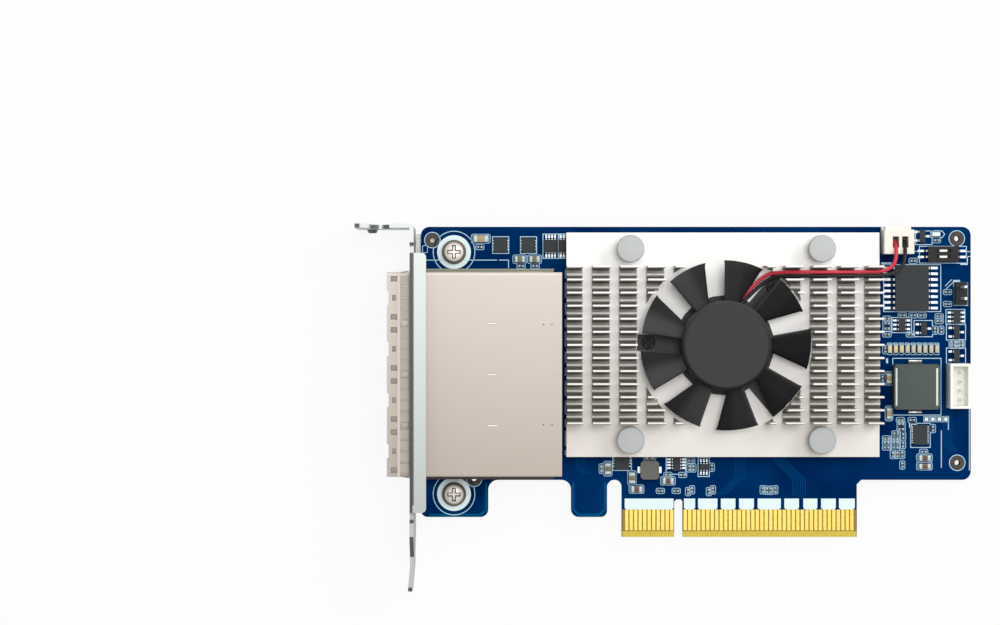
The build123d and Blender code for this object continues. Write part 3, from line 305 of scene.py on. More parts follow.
def lap_metal():
    """Side laps of the cage: grey green as painted light on the far side, and dark as painted
    shade on the near side.
    """
    material, tree, noise = begin("lap_metal", 0.5, 0.1, 0.2, 900, (0.1, 1, 1))
    near, far = (84, 80, 75), (148, 150, 134)
    stops = tones((0.0, near), (0.1, near), (0.9, far), (1.0, far))
    tone = ramp(tree, along_y(tree, CAGE_LOW, CAGE_HIGH), stops)
    return complete(material, grain_over(tree, tone, noise, 0.9), noise, (0.45, 0.55), 0.002)


def blade_shade(tree):
    """Darker along the leading edge of each blade, going round the fan's axis."""
    across = calculate(tree, "SUBTRACT", place_along(tree, "X"), FAN_X * MM)
    up = calculate(tree, "SUBTRACT", place_along(tree, "Y"), FAN_Y * MM)
    angle = calculate(tree, "ARCTAN2", up, across)
    angle = calculate(tree, "SUBTRACT", angle, radians(BLADE_SHADE_START))
    share = calculate(tree, "FRACT", calculate(tree, "DIVIDE", angle, radians(360 / BLADES)))
    squares = [calculate(tree, "MULTIPLY", part, part) for part in (across, up)]
    squares = calculate(tree, "ADD", *squares)
    outside = calculate(tree, "GREATER_THAN", squares, (BLADE_SHADE_R * MM) ** 2)
    dark = grey(0.48)
    stops = [(0.0, dark), (0.14, dark), (0.32, WHITE), (0.88, WHITE), (0.9, dark), (1.0, dark)]
    return mix_colours(tree, outside, WHITE, ramp(tree, share, stops))


def fan_plastic():
    """Black plastic, with painted light that makes it paler on the blade faces that turn to the far
    side of the card.
    """
    material, tree, noise = begin("fan_plastic", 0.5, 0.0, 0.1, 1600)
    stops = tones((0.25, (34, 34, 35)), (0.5, (50, 50, 51)))
    stops += tones((0.62, (60, 60, 61)), (0.75, (74, 74, 74)))
    blades = ramp(tree, map_range(tree, normal_along(tree, "Y"), -1.0, 1.0), stops)
    blades = multiply(tree, blades, blade_shade(tree))
    tone = mix_colours(tree, by_normal(tree, "Z", 0.985, 0.998), blades, linear(62, 62, 62))
    return complete(material, grain_over(tree, tone, noise, 0.93), noise, (0.44, 0.56), 0.005)


def printed(name, colour, spread, grain=2000):
    """White print on the board."""
    return surface(name, colour, 0.6, spread=spread, grain=grain, specular=0.1)


# Board, print and gold
mask = solder_mask()
trace = surface("mask_over_copper", (2, 66, 120), 0.5, specular=0.0)
pale_mask = surface("mask_over_laminate", (0, 84, 124), 0.5, specular=0.0)
# Painted shade for the board under and between parts.
row_shade = surface("shaded_mask", (16, 34, 50), 0.6, specular=0.0)
silk = printed("white_print", (196, 228, 244), 0.04)
thin_silk = printed("small_print", (182, 220, 242), 0.05)
silk_soft = printed("thin_print", (172, 204, 234), 0.05)
silk_block = printed("pale_print", (236, 255, 255), 0.03, 1500)
gold = surface("gold_plate", (228, 194, 84), 0.3, 0.3, grain=1500)
gold_gap = surface("bare_laminate", (152, 118, 12), 0.5, spread=0.2, grain=1800)
bevel_band = surface("bevelled_laminate", (222, 198, 74), 0.5, spread=0.12, grain=1800)
ring_brown = surface("bare_ring", (74, 69, 60), 0.5, spread=0.15, grain=1500, specular=0.2)
hole_dark = surface("shadow_gap", (96, 88, 82), 0.7, specular=0.1)

# Bracket and cage
# Painted shade: the bracket darker on its bends and slopes than on its sides and top.
bracket_side, bracket_slope, bracket_top = (196, 201, 198), (106, 108, 108), (216, 222, 218)
bracket_stops = [(0.0, bracket_side), (0.18, bracket_side), (0.3, bracket_slope)]
bracket_stops += [(0.97, (116, 118, 118)), (0.992, bracket_top), (1.0, bracket_top)]
bracket_steel = facing_metal("bracket_steel", bracket_stops, fall=0.7, shaded=BEND_SHADE)
# Painted shade on the sides of the screw heads, brightest on their tops.
screw_stops = [(0.0, (96, 84, 76)), (0.7, (128, 114, 104))]
screw_stops += [(0.92, (236, 229, 222)), (1.0, (240, 233, 227))]
screw_metal = facing_metal("screw_metal", screw_stops, 0.35, fall=0.9)
cage = cage_metal()
# Grey plates under the cage's windows: painted shade of the inside seen through them.
window_shade_metal = surface("window_shade_metal", (160, 152, 144), 0.5, 0.1, spread=0.04)
cage_tab = surface("cage_tab", (252, 240, 228), 0.45, 0.1, spread=0.03)
# Painted shade: the fingers darker where they slope, palest where they lie flat.
finger_tone = (166, 156, 145)
finger_stops = [(0.0, (96, 90, 84)), (0.5, (130, 121, 112)), (0.975, finger_tone)]
finger_stops += [(0.985, finger_tone), (0.99, (214, 203, 193))]
finger_metal = facing_metal("finger_metal", finger_stops)
lap_pale = surface("lap_in_light", (148, 150, 134), 0.5, 0.1, grain=300, stretch=(0.2, 3, 1))
lap_dark = surface("lap_in_shade", (76, 73, 70), 0.5, 0.2)

# Heat sink, push pins and fan
sink = sink_metal()
crest = ridge_metal()
pad_grey = surface("thermal_pad_grey", (150, 156, 160), 0.9)
# Painted shade on the sides of the pin heads.
pin_stops = [(0.0, (150, 152, 152)), (0.8, (194, 196, 195)), (1.0, (197, 200, 199))]
pin_grey = facing_metal("pin_grey", pin_stops, 0.5, 0.0, 500, fall=0.86)
spring_steel = surface("spring_wire", (150, 150, 148), 0.3, 0.9)
dark_metal = surface("fan_frame", (56, 56, 57), 0.5, spread=0.15, specular=0.2)
screw_black = surface("small_screw", (52, 52, 53), 0.5, spread=0.08, specular=0.1)
fan_black = fan_plastic()
driver_green = surface("driver_board", (20, 60, 34), 0.4)
core_steel = surface("core_steel", (95, 95, 98), 0.4, 0.8)
copper = surface("coil_copper", (176, 96, 48), 0.35, 0.8, stretch=(1, 1, 6))
magnet_black = surface("magnet", (46, 43, 42), 0.7)
bearing_brass = surface("bearing_brass", (176, 146, 90), 0.35, 0.9)
red_sleeve = surface("red_sleeve", (212, 50, 70), 0.4, spread=0.06)
black_sleeve = surface("black_sleeve", (38, 36, 36), 0.4, spread=0.15, specular=0.3)

# Headers, chips and small parts
black_plastic = surface("black_plastic", (34, 34, 35), 0.5, spread=0.2, specular=0.2)
soft_edges = {"spread": 0.03, "edge": 0.12, "specular": 0.3}
cream = surface("cream_plastic", (246, 243, 230), 0.5, **soft_edges)
white_plastic = surface("white_plastic", (252, 254, 246), 0.5, **soft_edges)
moulded = {"spread": 0.12, "grain": 3500, "bump": 0.008, "edge": 0.08, "specular": 0.12}
chip_black = surface("chip_black", (60, 64, 66), 0.6, **moulded)
# Painted shade on the bends and slopes of the leads, palest on their flat parts.
lead_stops = [(0.0, (150, 154, 156)), (0.4, (104, 108, 110)), (0.85, (120, 124, 126))]
lead_stops += [(0.97, (240, 246, 247)), (1.0, (244, 250, 250))]
tin = facing_metal("tinned_lead", lead_stops, 0.35, 0.2, 2500)
dark_tin = surface("pin_in_shade", (92, 86, 80), 0.4, 0.4, grain=2500)
bright_tin = surface("bright_pin", (232, 236, 236), 0.3, 0.3, spread=0.06, grain=2500)
solder = surface("solder_pad", (224, 236, 240), 0.4, 0.15, spread=0.08, grain=2500)
solder_soft = surface("small_pad", (140, 178, 194), 0.5, 0.1, grain=2500, specular=0.1)
end_metal = surface("part_end", (186, 198, 200), 0.4, 0.15, spread=0.08, grain=2500)
pressed = {"grain": 3000, "bump": 0.012, "specular": 0.15}
ferrite = surface("pressed_ferrite", (84, 92, 88), 0.65, spread=0.12, **pressed)
ferrite_pale = surface("pale_ferrite", (108, 108, 103), 0.65, **pressed)
# Painted highlight for the bevels along the inductor's top.
bevel_highlight = surface("bevel_highlight", (222, 232, 230), 0.6, grain=3000)
fired = {"spread": 0.12, "grain": 1800, "specular": 0.2}
resistor_black = surface("resistor_black", (44, 48, 52), 0.45, **fired)
led_lens = surface("led_lens", (226, 240, 240), 0.3, spread=0.04)
CERAMIC_TONES = {
    "tan": ((188, 158, 110), 0.08),
    "straw": ((226, 206, 160), 0.06),
    "cream": ((204, 198, 176), 0.06),
    "olive": ((122, 112, 84), 0.1),
    "brown": ((100, 75, 60), 0.1),
}
ceramic = {
    kind: surface(f"{kind}_ceramic", colour, 0.45, spread=spread, grain=1800, specular=0.3)
    for kind, (colour, spread) in CERAMIC_TONES.items()
}

LOOKS = [
    (mask, ["circuit_board"]),
    (gold, ["edge_contacts"]),
    (bracket_steel, ["bracket"]),
    (screw_metal, ["bracket_screws"]),
    (cage, ["cage_cover"]),
    (lap_metal(), ["cage_base"]),
    (cage_tab, ["cage_dividers"]),
    (finger_metal, ["spring_fingers"]),
    (black_plastic, ["receptacle_housings", "fan_screws", "shaft_clip", "jumper_header",
        "dip_switch"]),
    (chip_black, ["controller_chip", "wide_chip", "small_chips", "leadless_chips", "transistors"]),
    (pad_grey, ["thermal_pad"]),
    (sink, ["heat_sink"]),
    (pin_grey, ["push_pins"]),
    (spring_steel, ["push_pin_springs", "rotor_shaft"]),
    (dark_metal, ["fan_base"]),
    (driver_green, ["fan_driver_board"]),
    (core_steel, ["stator_core"]),
    (copper, ["stator_coils"]),
    (bearing_brass, ["fan_bearing"]),
    (fan_black, ["fan_rotor"]),
    (magnet_black, ["rotor_magnet"]),
    (red_sleeve, ["red_lead"]),
    (black_sleeve, ["black_lead"]),
    (cream, ["fan_plug", "fan_header"]),
    (tin, ["fan_header_pins", "dip_leads", "wide_chip_leads", "small_chip_leads",
        "transistor_leads", "large_inductor_terminals", "small_inductor_terminals"]),
    (white_plastic, ["serial_header", "dip_slider_1", "dip_slider_2"]),
    (dark_tin, ["serial_pins"]),
    (bright_tin, ["jumper_pins"]),
    (ferrite, ["large_inductor"]),
    (ferrite_pale, ["small_inductor"]),
    (ceramic["tan"], ["ceramic_capacitors"]),
    (resistor_black, ["chip_resistors"]),
    (led_lens, ["status_led"]),
]
for look, names in LOOKS:
    for name in names:
        nodes[name].data.materials.clear()
        nodes[name].data.materials.append(look)


def linked(name, data):
    """A new object in the scene."""
    thing = bpy.data.objects.new(name, data)
    bpy.context.collection.objects.link(thing)
    return thing


def box(x0, x1, y0, y1):
    """An anticlockwise rectangle."""
    return [(x0, y0), (x1, y0), (x1, y1), (x0, y1)]


def rounded(x0, x1, y0, y1, r, steps=4):
    """An anticlockwise rectangle with rounded corners."""
    points = []
    centres = [(x1 - r, y1 - r), (x0 + r, y1 - r), (x0 + r, y0 + r), (x1 - r, y0 + r)]
    for quarter, (cx, cy) in enumerate(centres):
        for i in range(steps + 1):
            turn = radians(90 * quarter + 90 * i / steps)
            points.append((cx + r * cos(turn), cy + r * sin(turn)))
    return points


def solid_faces(n):
    """Faces between a lower and an upper ring of n points: walls, top and bottom."""
    walls = [(i, (i + 1) % n, n + (i + 1) % n, n + i) for i in range(n)]
    return walls + [tuple(range(n, 2 * n)), tuple(reversed(range(n)))]


class Shape:
    """Gathers faces, given in millimetres, and becomes one piece."""

    def __init__(self, name, *materials):
        self.name = name
        self.materials = materials
        self.bm = bmesh.new()

    def vertex(self, x, y, z):
        return self.bm.verts.new((x * MM, y * MM, z * MM))

    def faces(self, points, faces, slot=0):
        made = [self.vertex(*point) for point in points]
        result = []
        for face in faces:
            result.append(self.bm.faces.new([made[i] for i in face]))
            result[-1].material_index = slot
        return result

    def prism(self, outline, z0, z1, slot=0, edge=0.0):
        """An upright solid on an anticlockwise outline, with its upper edges rounded."""
        n = len(outline)
        points = [(x, y, z0) for x, y in outline] + [(x, y, z1) for x, y in outline]
        made = self.faces(points, solid_faces(n), slot)
        if edge:
            rim = set(made[n].edges)
            for side in made[:n]:
                rim |= {e for e in side.edges if abs(e.verts[0].co.z - e.verts[1].co.z) > 1e-7}
            settings = {"segments": 2, "affect": "EDGES", "profile": 0.5}
            bmesh.ops.bevel(self.bm, geom=list(rim), offset=edge * MM, **settings)

    def block(self, x0, x1, y0, y1, z0, z1, slot=0, edge=0.0):
        self.prism(box(x0, x1, y0, y1), z0, z1, slot, edge)

    def centred(self, x, y, length, width, z0, z1, slot=0, edge=0.0):
        self.block(x - length / 2, x + length / 2, y - width / 2, y + width / 2, z0, z1, slot, edge)

    def revolve(self, x, y, profile, steps=48, slot=0):
        """Turns (radius, z) points about an upright axis; radius 0 closes an end."""
        rings = []
        turns = [2 * pi * i / steps for i in range(steps)]
        for radius, z in profile:
            if radius == 0:
                rings.append([self.vertex(x, y, z)])
            else:
                around = [(x + radius * cos(t), y + radius * sin(t)) for t in turns]
                rings.append([self.vertex(*point, z) for point in around])
        for below, above in zip(rings, rings[1:]):
            for i in range(steps):
                j = (i + 1) % steps
                corners = [below[i % len(below)], below[j % len(below)]]
                corners += [above[j % len(above)], above[i % len(above)]]
                face = self.bm.faces.new(list(dict.fromkeys(corners)))
                face.material_index = slot

    def ring(self, x, y, inner, outer, z, slot=0, steps=40):
        """A flat ring that faces up."""
        self.revolve(x, y, [(outer, z), (inner, z)], steps, slot)

    def ribbon(self, path, width, z, closed=False, slot=0):
        """A flat line along a path, mitred at its corners, facing up."""
        n = len(path)
        left, right = [], []
        for i, (x, y) in enumerate(path):
            ahead = path[(i + 1) % n] if closed or i < n - 1 else path[i]
            behind = path[i - 1] if closed or i > 0 else path[i]
            into = Vector((x - behind[0], y - behind[1])).normalized()
            out = Vector((ahead[0] - x, ahead[1] - y)).normalized()
            along = (into + out).normalized()
            reach = width / 2 / max(0.4, along.dot(out if out.length else into))
            left.append((x - along.y * reach, y + along.x * reach, z))
            right.append((x + along.y * reach, y - along.x * reach, z))
        spans = n if closed else n - 1
        quads = [(n + i, n + (i + 1) % n, (i + 1) % n, i) for i in range(spans)]
        self.faces(left + right, quads, slot)

    def piece(self, body="card", replaces=(), finish=None, smooth=32):
        """The finished object, riding on a body."""
        mesh = bpy.data.meshes.new(self.name)
        self.bm.to_mesh(mesh)
        self.bm.free()
        for material in self.materials:
            mesh.materials.append(material)
        mesh.polygons.foreach_set("use_smooth", [True] * len(mesh.polygons))
        mesh.set_sharp_from_angle(angle=radians(smooth))
        piece = linked(self.name, mesh)
        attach(piece, body)
        if replaces:
            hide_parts(*replaces)
        return piece


def cut_out(piece, cutter):
    """Takes one closed piece out of another."""
    change = piece.modifiers.new("cut", "BOOLEAN")
    change.object = cutter
    change.operation = "DIFFERENCE"
    change.solver = "EXACT"
    bpy.context.view_layer.update()
    changed = piece.evaluated_get(bpy.context.evaluated_depsgraph_get())
    shape = bpy.data.meshes.new_from_object(changed)
    piece.modifiers.clear()
    piece.data = shape
    bpy.data.objects.remove(cutter)


# Fan leads
LEAD_D = 0.85
ROUTES = {
    "red": [
        (11.3, 50.9, 5.75), (14.9, 54.6, 5.7), (18.7, 58.25, 6.0), (21.9, 58.72, 7.2),
        (25.4, 58.75, 9.5), (32.0, 58.7, 10.6), (39.5, 58.74, 10.5), (44.6, 58.8, 9.2),
        (47.2, 60.6, 7.6), (47.4, 64.2, 7.2), (47.4, 65.6, 4.6),
    ],
    "black": [
        (12.0, 50.35, 5.75), (15.6, 54.05, 5.7), (19.6, 57.55, 6.0), (22.7, 57.88, 7.3),
        (26.2, 57.85, 9.4), (32.8, 57.9, 10.6), (40.2, 57.87, 10.5), (45.6, 57.95, 9.2),
        (49.0, 60.0, 7.7), (49.42, 64.1, 7.2), (49.45, 65.5, 4.6),
    ],
}


def round_curve(name, radius, resolution, material):
    """An empty curve with a round section, its radius in millimetres."""
    curve = bpy.data.curves.new(name, "CURVE")
    curve.dimensions = "3D"
    curve.bevel_depth = radius * MM
    curve.bevel_resolution = resolution
    curve.use_fill_caps = True
    curve.materials.append(material)
    return curve


def lead(colour, material):
    """One insulated lead on a smooth curve."""
    curve = round_curve(f"{colour}_wire", LEAD_D / 2, 5, material)
    curve.resolution_u = 12
    spline = curve.splines.new("NURBS")
    route = ROUTES[colour]
    spline.points.add(len(route) - 1)
    for point, (x, y, z) in zip(spline.points, route):
        point.co = (x * MM, y * MM, z * MM, 1)
    spline.order_u = 3
    spline.use_endpoint_u = True
    wire = linked(f"{colour}_wire", curve)
    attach(wire, "card")
    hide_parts(f"{colour}_lead")


lead("red", red_sleeve)
lead("black", black_sleeve)

# Fan rotor: a cup with a rounded rim and nine curved blades.
HUB_R, HUB_LOW, HUB_TOP, HUB_WALL, HUB_FILLET = 9.85, 6.6, 12.6, 0.8, 0.9
FIRST_BLADE, BLADE_Z, BLADE_T = 118, 9.3, 0.75
ROOT_R, TIP_R, INNER_R, OUTER_R = 9.6, 18.6, 9.3, 18.4
BLADE_STEEP, BLADE_FLAT, BLADE_SOFT = 34, 16, 1.2
ROOT_START, ROOT_END, START_GROWS, END_GROWS = -2.35, 0.87, -2.05, 3.75

rotor = Shape("rotor_skin", fan_black)
cup = [(HUB_R - HUB_WALL, HUB_LOW), (HUB_R - 0.1, HUB_LOW), (HUB_R, HUB_LOW + 0.1)]
for turn in range(0, 91, 15):
    inward, up = HUB_FILLET * (1 - cos(radians(turn))), HUB_FILLET * sin(radians(turn))
    cup.append((HUB_R - inward, HUB_TOP - HUB_FILLET + up))
cup += [(8.0, HUB_TOP), (0, HUB_TOP)]
rotor.revolve(FAN_X, FAN_Y, cup, 96)
inner_r, inner_top = HUB_R - HUB_WALL, HUB_TOP - 1
rotor.revolve(FAN_X, FAN_Y, [(0, inner_top), (inner_r, inner_top), (inner_r, HUB_LOW)], 96)


def blade_height(offset):
    """Height of a blade's middle surface, steep on its high side and flatter on its low side."""
    steep, flatter = tan(radians(BLADE_STEEP)), tan(radians(BLADE_FLAT))
    slope_mid, slope_half = (steep + flatter) / 2, (steep - flatter) / 2
    bend = (offset**2 + BLADE_SOFT**2) ** 0.5 - BLADE_SOFT
    return BLADE_Z - slope_mid * offset + slope_half * bend


def add_blade(shape, angle):
    """A blade as a closed sheet with rounded edges."""
    across, out = 14, 8
    turn = radians(angle)
    upper, lower = [], []
    for i in range(out + 1):
        radial = ROOT_R - 0.6 + (TIP_R - ROOT_R + 0.6) * i / out
        share = (radial - INNER_R) / (OUTER_R - INNER_R)
        start, end = ROOT_START + START_GROWS * share, ROOT_END + END_GROWS * share
        for j in range(across + 1):
            side = -cos(pi * j / across)
            offset = (start + end) / 2 + (end - start) / 2 * side
            reach = (radial**2 - (offset**2 if i == out else 0)) ** 0.5
            height = blade_height(offset)
            tilt = atan((blade_height(offset + 0.01) - height) / 0.01)
            half = BLADE_T / 2 * (1 - side**8) ** 0.5 * (0.55 if i == out else 1)
            for bank, sign in ((upper, 1), (lower, -1)):
                u = offset - sign * half * sin(tilt)
                z = height + sign * half * cos(tilt)
                x = FAN_X + reach * cos(turn) + u * sin(turn)
                y = FAN_Y + reach * sin(turn) - u * cos(turn)
                bank.append((x, y, z))
    row = across + 1
    count = len(upper)
    quads = []
    for i in range(out):
        for j in range(across):
            a = i * row + j
            quads.append((a, a + 1, a + row + 1, a + row))
            quads.append((count + a, count + a + row, count + a + row + 1, count + a + 1))
    last = out * row
    for a in range(last, last + across):
        quads.append((a, a + 1, count + a + 1, count + a))
    shape.faces(upper + lower, quads)


for i in range(BLADES):
    add_blade(rotor, FIRST_BLADE + 360 / BLADES * i)
bmesh.ops.remove_doubles(rotor.bm, verts=rotor.bm.verts, dist=0.004 * MM)
bmesh.ops.recalc_face_normals(rotor.bm, faces=rotor.bm.faces)
rotor.piece("rotor", replaces=["fan_rotor"], finish="fan_black", smooth=40)

# Push pins with rounded heads, and the springs under them.
PIN_X, PIN_Y = (-11.05, 30.89), (21.88, 63.85)
PIN_TIP = [(0, -3.95), (0.9, -3.95), (1.35, -3.6), (1.95, -2.5), (1.95, -1.6), (1.45, -1.6)]
PIN_HEAD = [(1.45, 8.0), (2.85, 8.0), (3.0, 8.15), (3.0, 9.25), (2.95, 9.42), (2.82, 9.55)]
PIN_HEAD += [(2.6, 9.6), (0, 9.6)]
PIN_PLACES = [(x, y) for x in PIN_X for y in PIN_Y]
pins = Shape("push_pin_skins", pin_grey)
for x, y in PIN_PLACES:
    pins.revolve(x, y, PIN_TIP + PIN_HEAD, 48)
pins.piece(replaces=["push_pins"], finish="grey_plastic")

SPRING_TURNS, SPRING_Z0, SPRING_Z1, SPRING_MID_R, WIRE_R = 4.5, 4.45, 7.75, 2.02, 0.25
SPRING_STEPS = int(SPRING_TURNS * 20)
coils = round_curve("spring_coils", WIRE_R, 3, spring_steel)
for x, y in PIN_PLACES:
    spline = coils.splines.new("POLY")
    spline.points.add(SPRING_STEPS)
    for i in range(SPRING_STEPS + 1):
        turn = 2 * pi * SPRING_TURNS * i / SPRING_STEPS
        rise = min(max((i / SPRING_STEPS - 0.1) / 0.8, 0), 1)
        z = SPRING_Z0 + (SPRING_Z1 - SPRING_Z0) * rise
        co = (x + SPRING_MID_R * cos(turn), y + SPRING_MID_R * sin(turn), z)
        spline.points[i].co = tuple(v * MM for v in co) + (1,)
springs = linked("spring_coils", coils)
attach(springs, "card")
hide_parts("push_pin_springs")


# Screws
def cross_cutter(x, y, z, arm, width, depth):
    """A cross-shaped cutter above a screw head, narrower at its floor."""
    a, w = arm / 2, width / 2
    quarter = [(w, -a), (w, -w), (a, -w), (a, w), (w, w), (w, a)]
    cross = quarter + [(-u, -v) for u, v in quarter]
    points = [
        (x + u * (0.8 if abs(u) == a else 0.45), y + v * (0.8 if abs(v) == a else 0.45), z - depth)
        for u, v in cross
    ]
    points += [(x + u, y + v, z + 0.05) for u, v in cross]
    cutter = Shape("cutter", black_plastic)
    cutter.faces(points, solid_faces(len(cross)))
    mesh = bpy.data.meshes.new("cutter")
    cutter.bm.to_mesh(mesh)
    cutter.bm.free()
    return linked("cutter", mesh)


def cross_screws(name, look, places, section, steps, recess, node, finish):
    """Screws with a cross recess, given by its arm, width and depth; the first one also
    stands for their node."""
    for index, (x, y) in enumerate(places):
        screw = Shape(f"{name}_{index + 1}", look)
        screw.revolve(x, y, section, steps)
        cutter = cross_cutter(x, y, section[-1][1], *recess)
        cut_out(screw.piece(replaces=[node] if index == 0 else (), finish=finish), cutter)


SCREW_X, SCREW_Y = -49.85, (63.3, 9.55)
shank = [(0, -3.6), (1.0, -3.6), (1.4, -3.2), (1.4, 0.01), (2.6, 0.01), (2.7, 0.12), (2.68, 0.6)]
dome = [(2.55, 1.0), (2.3, 1.4), (2.0, 1.65), (1.7, 1.78), (1.3, 1.87), (0.8, 1.9), (0, 1.9)]
places = [(SCREW_X, y) for y in SCREW_Y]
recess = (3.1, 0.95, 0.8)
cross_screws(
    "screw_skin", screw_metal, places, shank + dome, 56, recess, "bracket_screws", "screw_steel"
)

ARM_ANGLES, ARM_R = (178, 50, -50), 16.7
shank = [(0, 2.9), (0.7, 2.9), (0.7, 5.1)]
dome = [(1.45, 5.1), (1.5, 5.2), (1.48, 5.5), (1.3, 5.75), (1.0, 5.8), (0, 5.8)]
turns = [radians(angle) for angle in ARM_ANGLES]
places = [(FAN_X + ARM_R * cos(t), FAN_Y + ARM_R * sin(t)) for t in turns]
recess = (2.2, 0.6, 0.5)
cross_screws(
    "arm_screw_skin", screw_black, places, shank + dome, 40, recess, "fan_screws", "black_steel"
)

# Heat sink: rounded crests on the low ridges.
SINK_L, FIN_ROWS, SHORTEST_RIDGE = 69.04, 13, 0.6
RIDGE_TOP, RIDGE_HALF, CREST_RISE, CREST_SINK, CREST_INSET = 5.6, 0.82, 0.9, 0.88, 0.02
LANE_PITCH, LANE_W, LANES, FIRST_LANE, POCKET_R = 6.005, 2.1, 11, -20.44, 19.4
turns = [radians(t) for t in range(0, 181, 15)]
arc = [(RIDGE_HALF * cos(t), CREST_RISE * sin(t)) for t in turns]
n = len(arc)
crest_faces = [(k, n + k, n + k + 1, k + 1) for k in range(n - 1)]
crest_faces += [tuple(range(n)), tuple(reversed(range(n, 2 * n)))]
crests = Shape("ridge_crests", crest)
left, right = SINK_X - SINK_L / 2, SINK_X + SINK_L / 2
edges = [left]
for i in range(LANES):
    lane = FIRST_LANE + LANE_PITCH * i
    edges += [lane - LANE_W / 2, lane + LANE_W / 2]
edges.append(right)
for i in range(FIN_ROWS - 1):
    y = SINK_Y + FIN_PITCH * (i + 0.5 - (FIN_ROWS - 1) / 2)
    across = abs(y - FAN_Y)
    half = (POCKET_R**2 - across**2) ** 0.5 if across < POCKET_R else 0
    for x0, x1 in zip(edges[::2], edges[1::2]):
        spans = [(x0, x1)]
        if half:
            spans = [(x0, min(x1, FAN_X - half)), (max(x0, FAN_X + half), x1)]
        for a, b in spans:
            if b - a > SHORTEST_RIDGE:
                points = []
                for x in (a + CREST_INSET, b - CREST_INSET):
                    points += [(x, y + u, RIDGE_TOP - CREST_SINK + v) for u, v in arc]
                crests.faces(points, crest_faces)
bmesh.ops.recalc_face_normals(crests.bm, faces=crests.bm.faces)
crests.piece(finish="sink_aluminium", smooth=50)

# Small two-ended parts: metal ends with solder, and a ceramic body.
ALONG_X = [
    (-44.1, 64.4), (-34.95, 60.2), (-31.85, 60.2), (57.3, 65.9), (52.1, 61.35), (59.76, 54.4),
    (59.76, 51.76), (49.7, 49.25), (52.1, 49.25), (54.1, 49.25), (46.3, 48.5), (46.3, 47.45),
    (46.3, 46.3), (46.3, 45.0), (57.9, 49.0), (57.9, 47.95), (61.0, 43.3), (62.7, 43.3),
    (61.0, 42.45), (62.7, 42.45), (51.5, 45.0), (-4.03, 10.26), (-0.5, 10.26), (-2.34, 13.8),
    (0.92, 13.8), (2.7, 17.0), (49.3, 26.0), (51.9, 26.0), (49.45, 25.1), (49.45, 23.95),
    (48.3, 23.0), (46.2, 21.9), (46.2, 21.0), (46.2, 19.9), (48.2, 21.9), (48.2, 21.0),
    (48.2, 19.9), (54.45, 18.95),
]
ALONG_Y = [
    (2.12, 10.1), (3.0, 10.5), (6.74, 10.1), (7.65, 10.5), (18.7, 10.5), (19.66, 10.4),
    (20.45, 10.4), (21.5, 10.5), (2.43, 15.36), (3.3, 15.36), (7.4, 15.5), (49.9, 22.45),
    (49.85, 20.55), (47.6, 18.35), (48.6, 18.35), (49.7, 18.35), (49.7, 16.0), (56.5, 24.1),
    (56.95, 45.95), (58.35, 45.95), (45.9, 41.6), (45.3, 35.2),
]
CHIP_L, CHIP_W, CHIP_H = 1.0, 0.5, 0.38

# Larger ones, as (x, y, length, width, height); a row of nine has thin ends.
ROW_X, ROW_PITCH, ROW_Y, ROW_L, ROW_W, ROW_H = 46.88, 1.31, 41.8, 0.95, 1.75, 0.9
row = [(ROW_X + ROW_PITCH * i, ROW_Y, ROW_L, ROW_W, ROW_H) for i in range(9)]
CERAMIC = {
    "tan": [
        (-43.9, 66.25, 3.2, 1.5, 1.3), (46.7, 35.25, 1.2, 2.0, 0.9), (46.75, 27.45, 1.2, 2.3, 0.9),
    ],
    "straw": row[:3],
    "cream": row[3:],
    "olive": [
        (-35.25, 61.7, 2.1, 1.4, 1.0), (-31.98, 61.7, 2.1, 1.4, 1.0), (-15.7, 15.2, 1.4, 2.3, 1.1),
        (-10.35, 13.15, 1.4, 2.2, 1.1), (-17.1, 15.2, 0.6, 1.2, 0.5), (-6.4, 17.6, 1.7, 0.8, 0.5),
    ],
    "brown": [
        (54.6, 17.57, 2.5, 1.3, 1.1), (54.6, 15.72, 2.5, 1.2, 1.1),
        (-9.33, 10.65, 2.3, 1.4, 1.1), (-2.36, 12.5, 2.3, 1.4, 1.1),
    ],
}


def two_ended(shape, x, y, length, width, height, slot):
    """A body in a material slot between two metal ends, along its longer side."""
    lengthwise = length >= width
    half = max(length, width) / 2
    cap = 2 * half * (0.1 if width == ROW_W else 0.25)
    ends = [(-half, cap - half, 0, 0.0), (half - cap, half, 0, 0.0)]
    for low, high, slot, inset in ends + [(cap - half, half - cap, slot, 0.03)]:
        across = min(length, width) / 2 - inset
        sides = (x + low, x + high, y - across, y + across)
        if not lengthwise:
            sides = (x - across, x + across, y + low, y + high)
        shape.block(*sides, 0.02, height - inset, slot, 0.06)


chips = Shape("resistor_skins", end_metal, resistor_black)
for x, y in ALONG_X:
    two_ended(chips, x, y, CHIP_L, CHIP_W, CHIP_H, 1)
for x, y in ALONG_Y:
    two_ended(chips, x, y, CHIP_W, CHIP_L, CHIP_H, 1)
chips.piece(replaces=["chip_resistors"], finish="resistor_black")

ceramics = Shape("capacitor_skins", end_metal, *ceramic.values())
for slot, places in enumerate(CERAMIC.values(), 1):
    for place in places:
        two_ended(ceramics, *place, slot)
ceramics.piece(replaces=["ceramic_capacitors"], finish="capacitor_tan")

# Pads and printed outlines on the board.
PAD_Z, SILK_Z, TRACE_Z = 0.012, 0.02, 0.008
LINE_W, SMALL_LINE_W = 0.17, 0.13
BOTH = (-1, 1)
pads = Shape("solder_pads", solder)
small_pads = Shape("small_pads", solder_soft)
small_lines = Shape("small_outlines", thin_silk)
print_lines = Shape("printed_lines", silk)


def outline(x, y, length, width, gap=0.28, corner=0.3):
    """A printed rounded outline round a part."""
    a, b = length / 2 + gap, width / 2 + gap
    path = rounded(x - a, x + a, y - b, y + b, corner)
    small_lines.ribbon(path, SMALL_LINE_W, SILK_Z, closed=True)


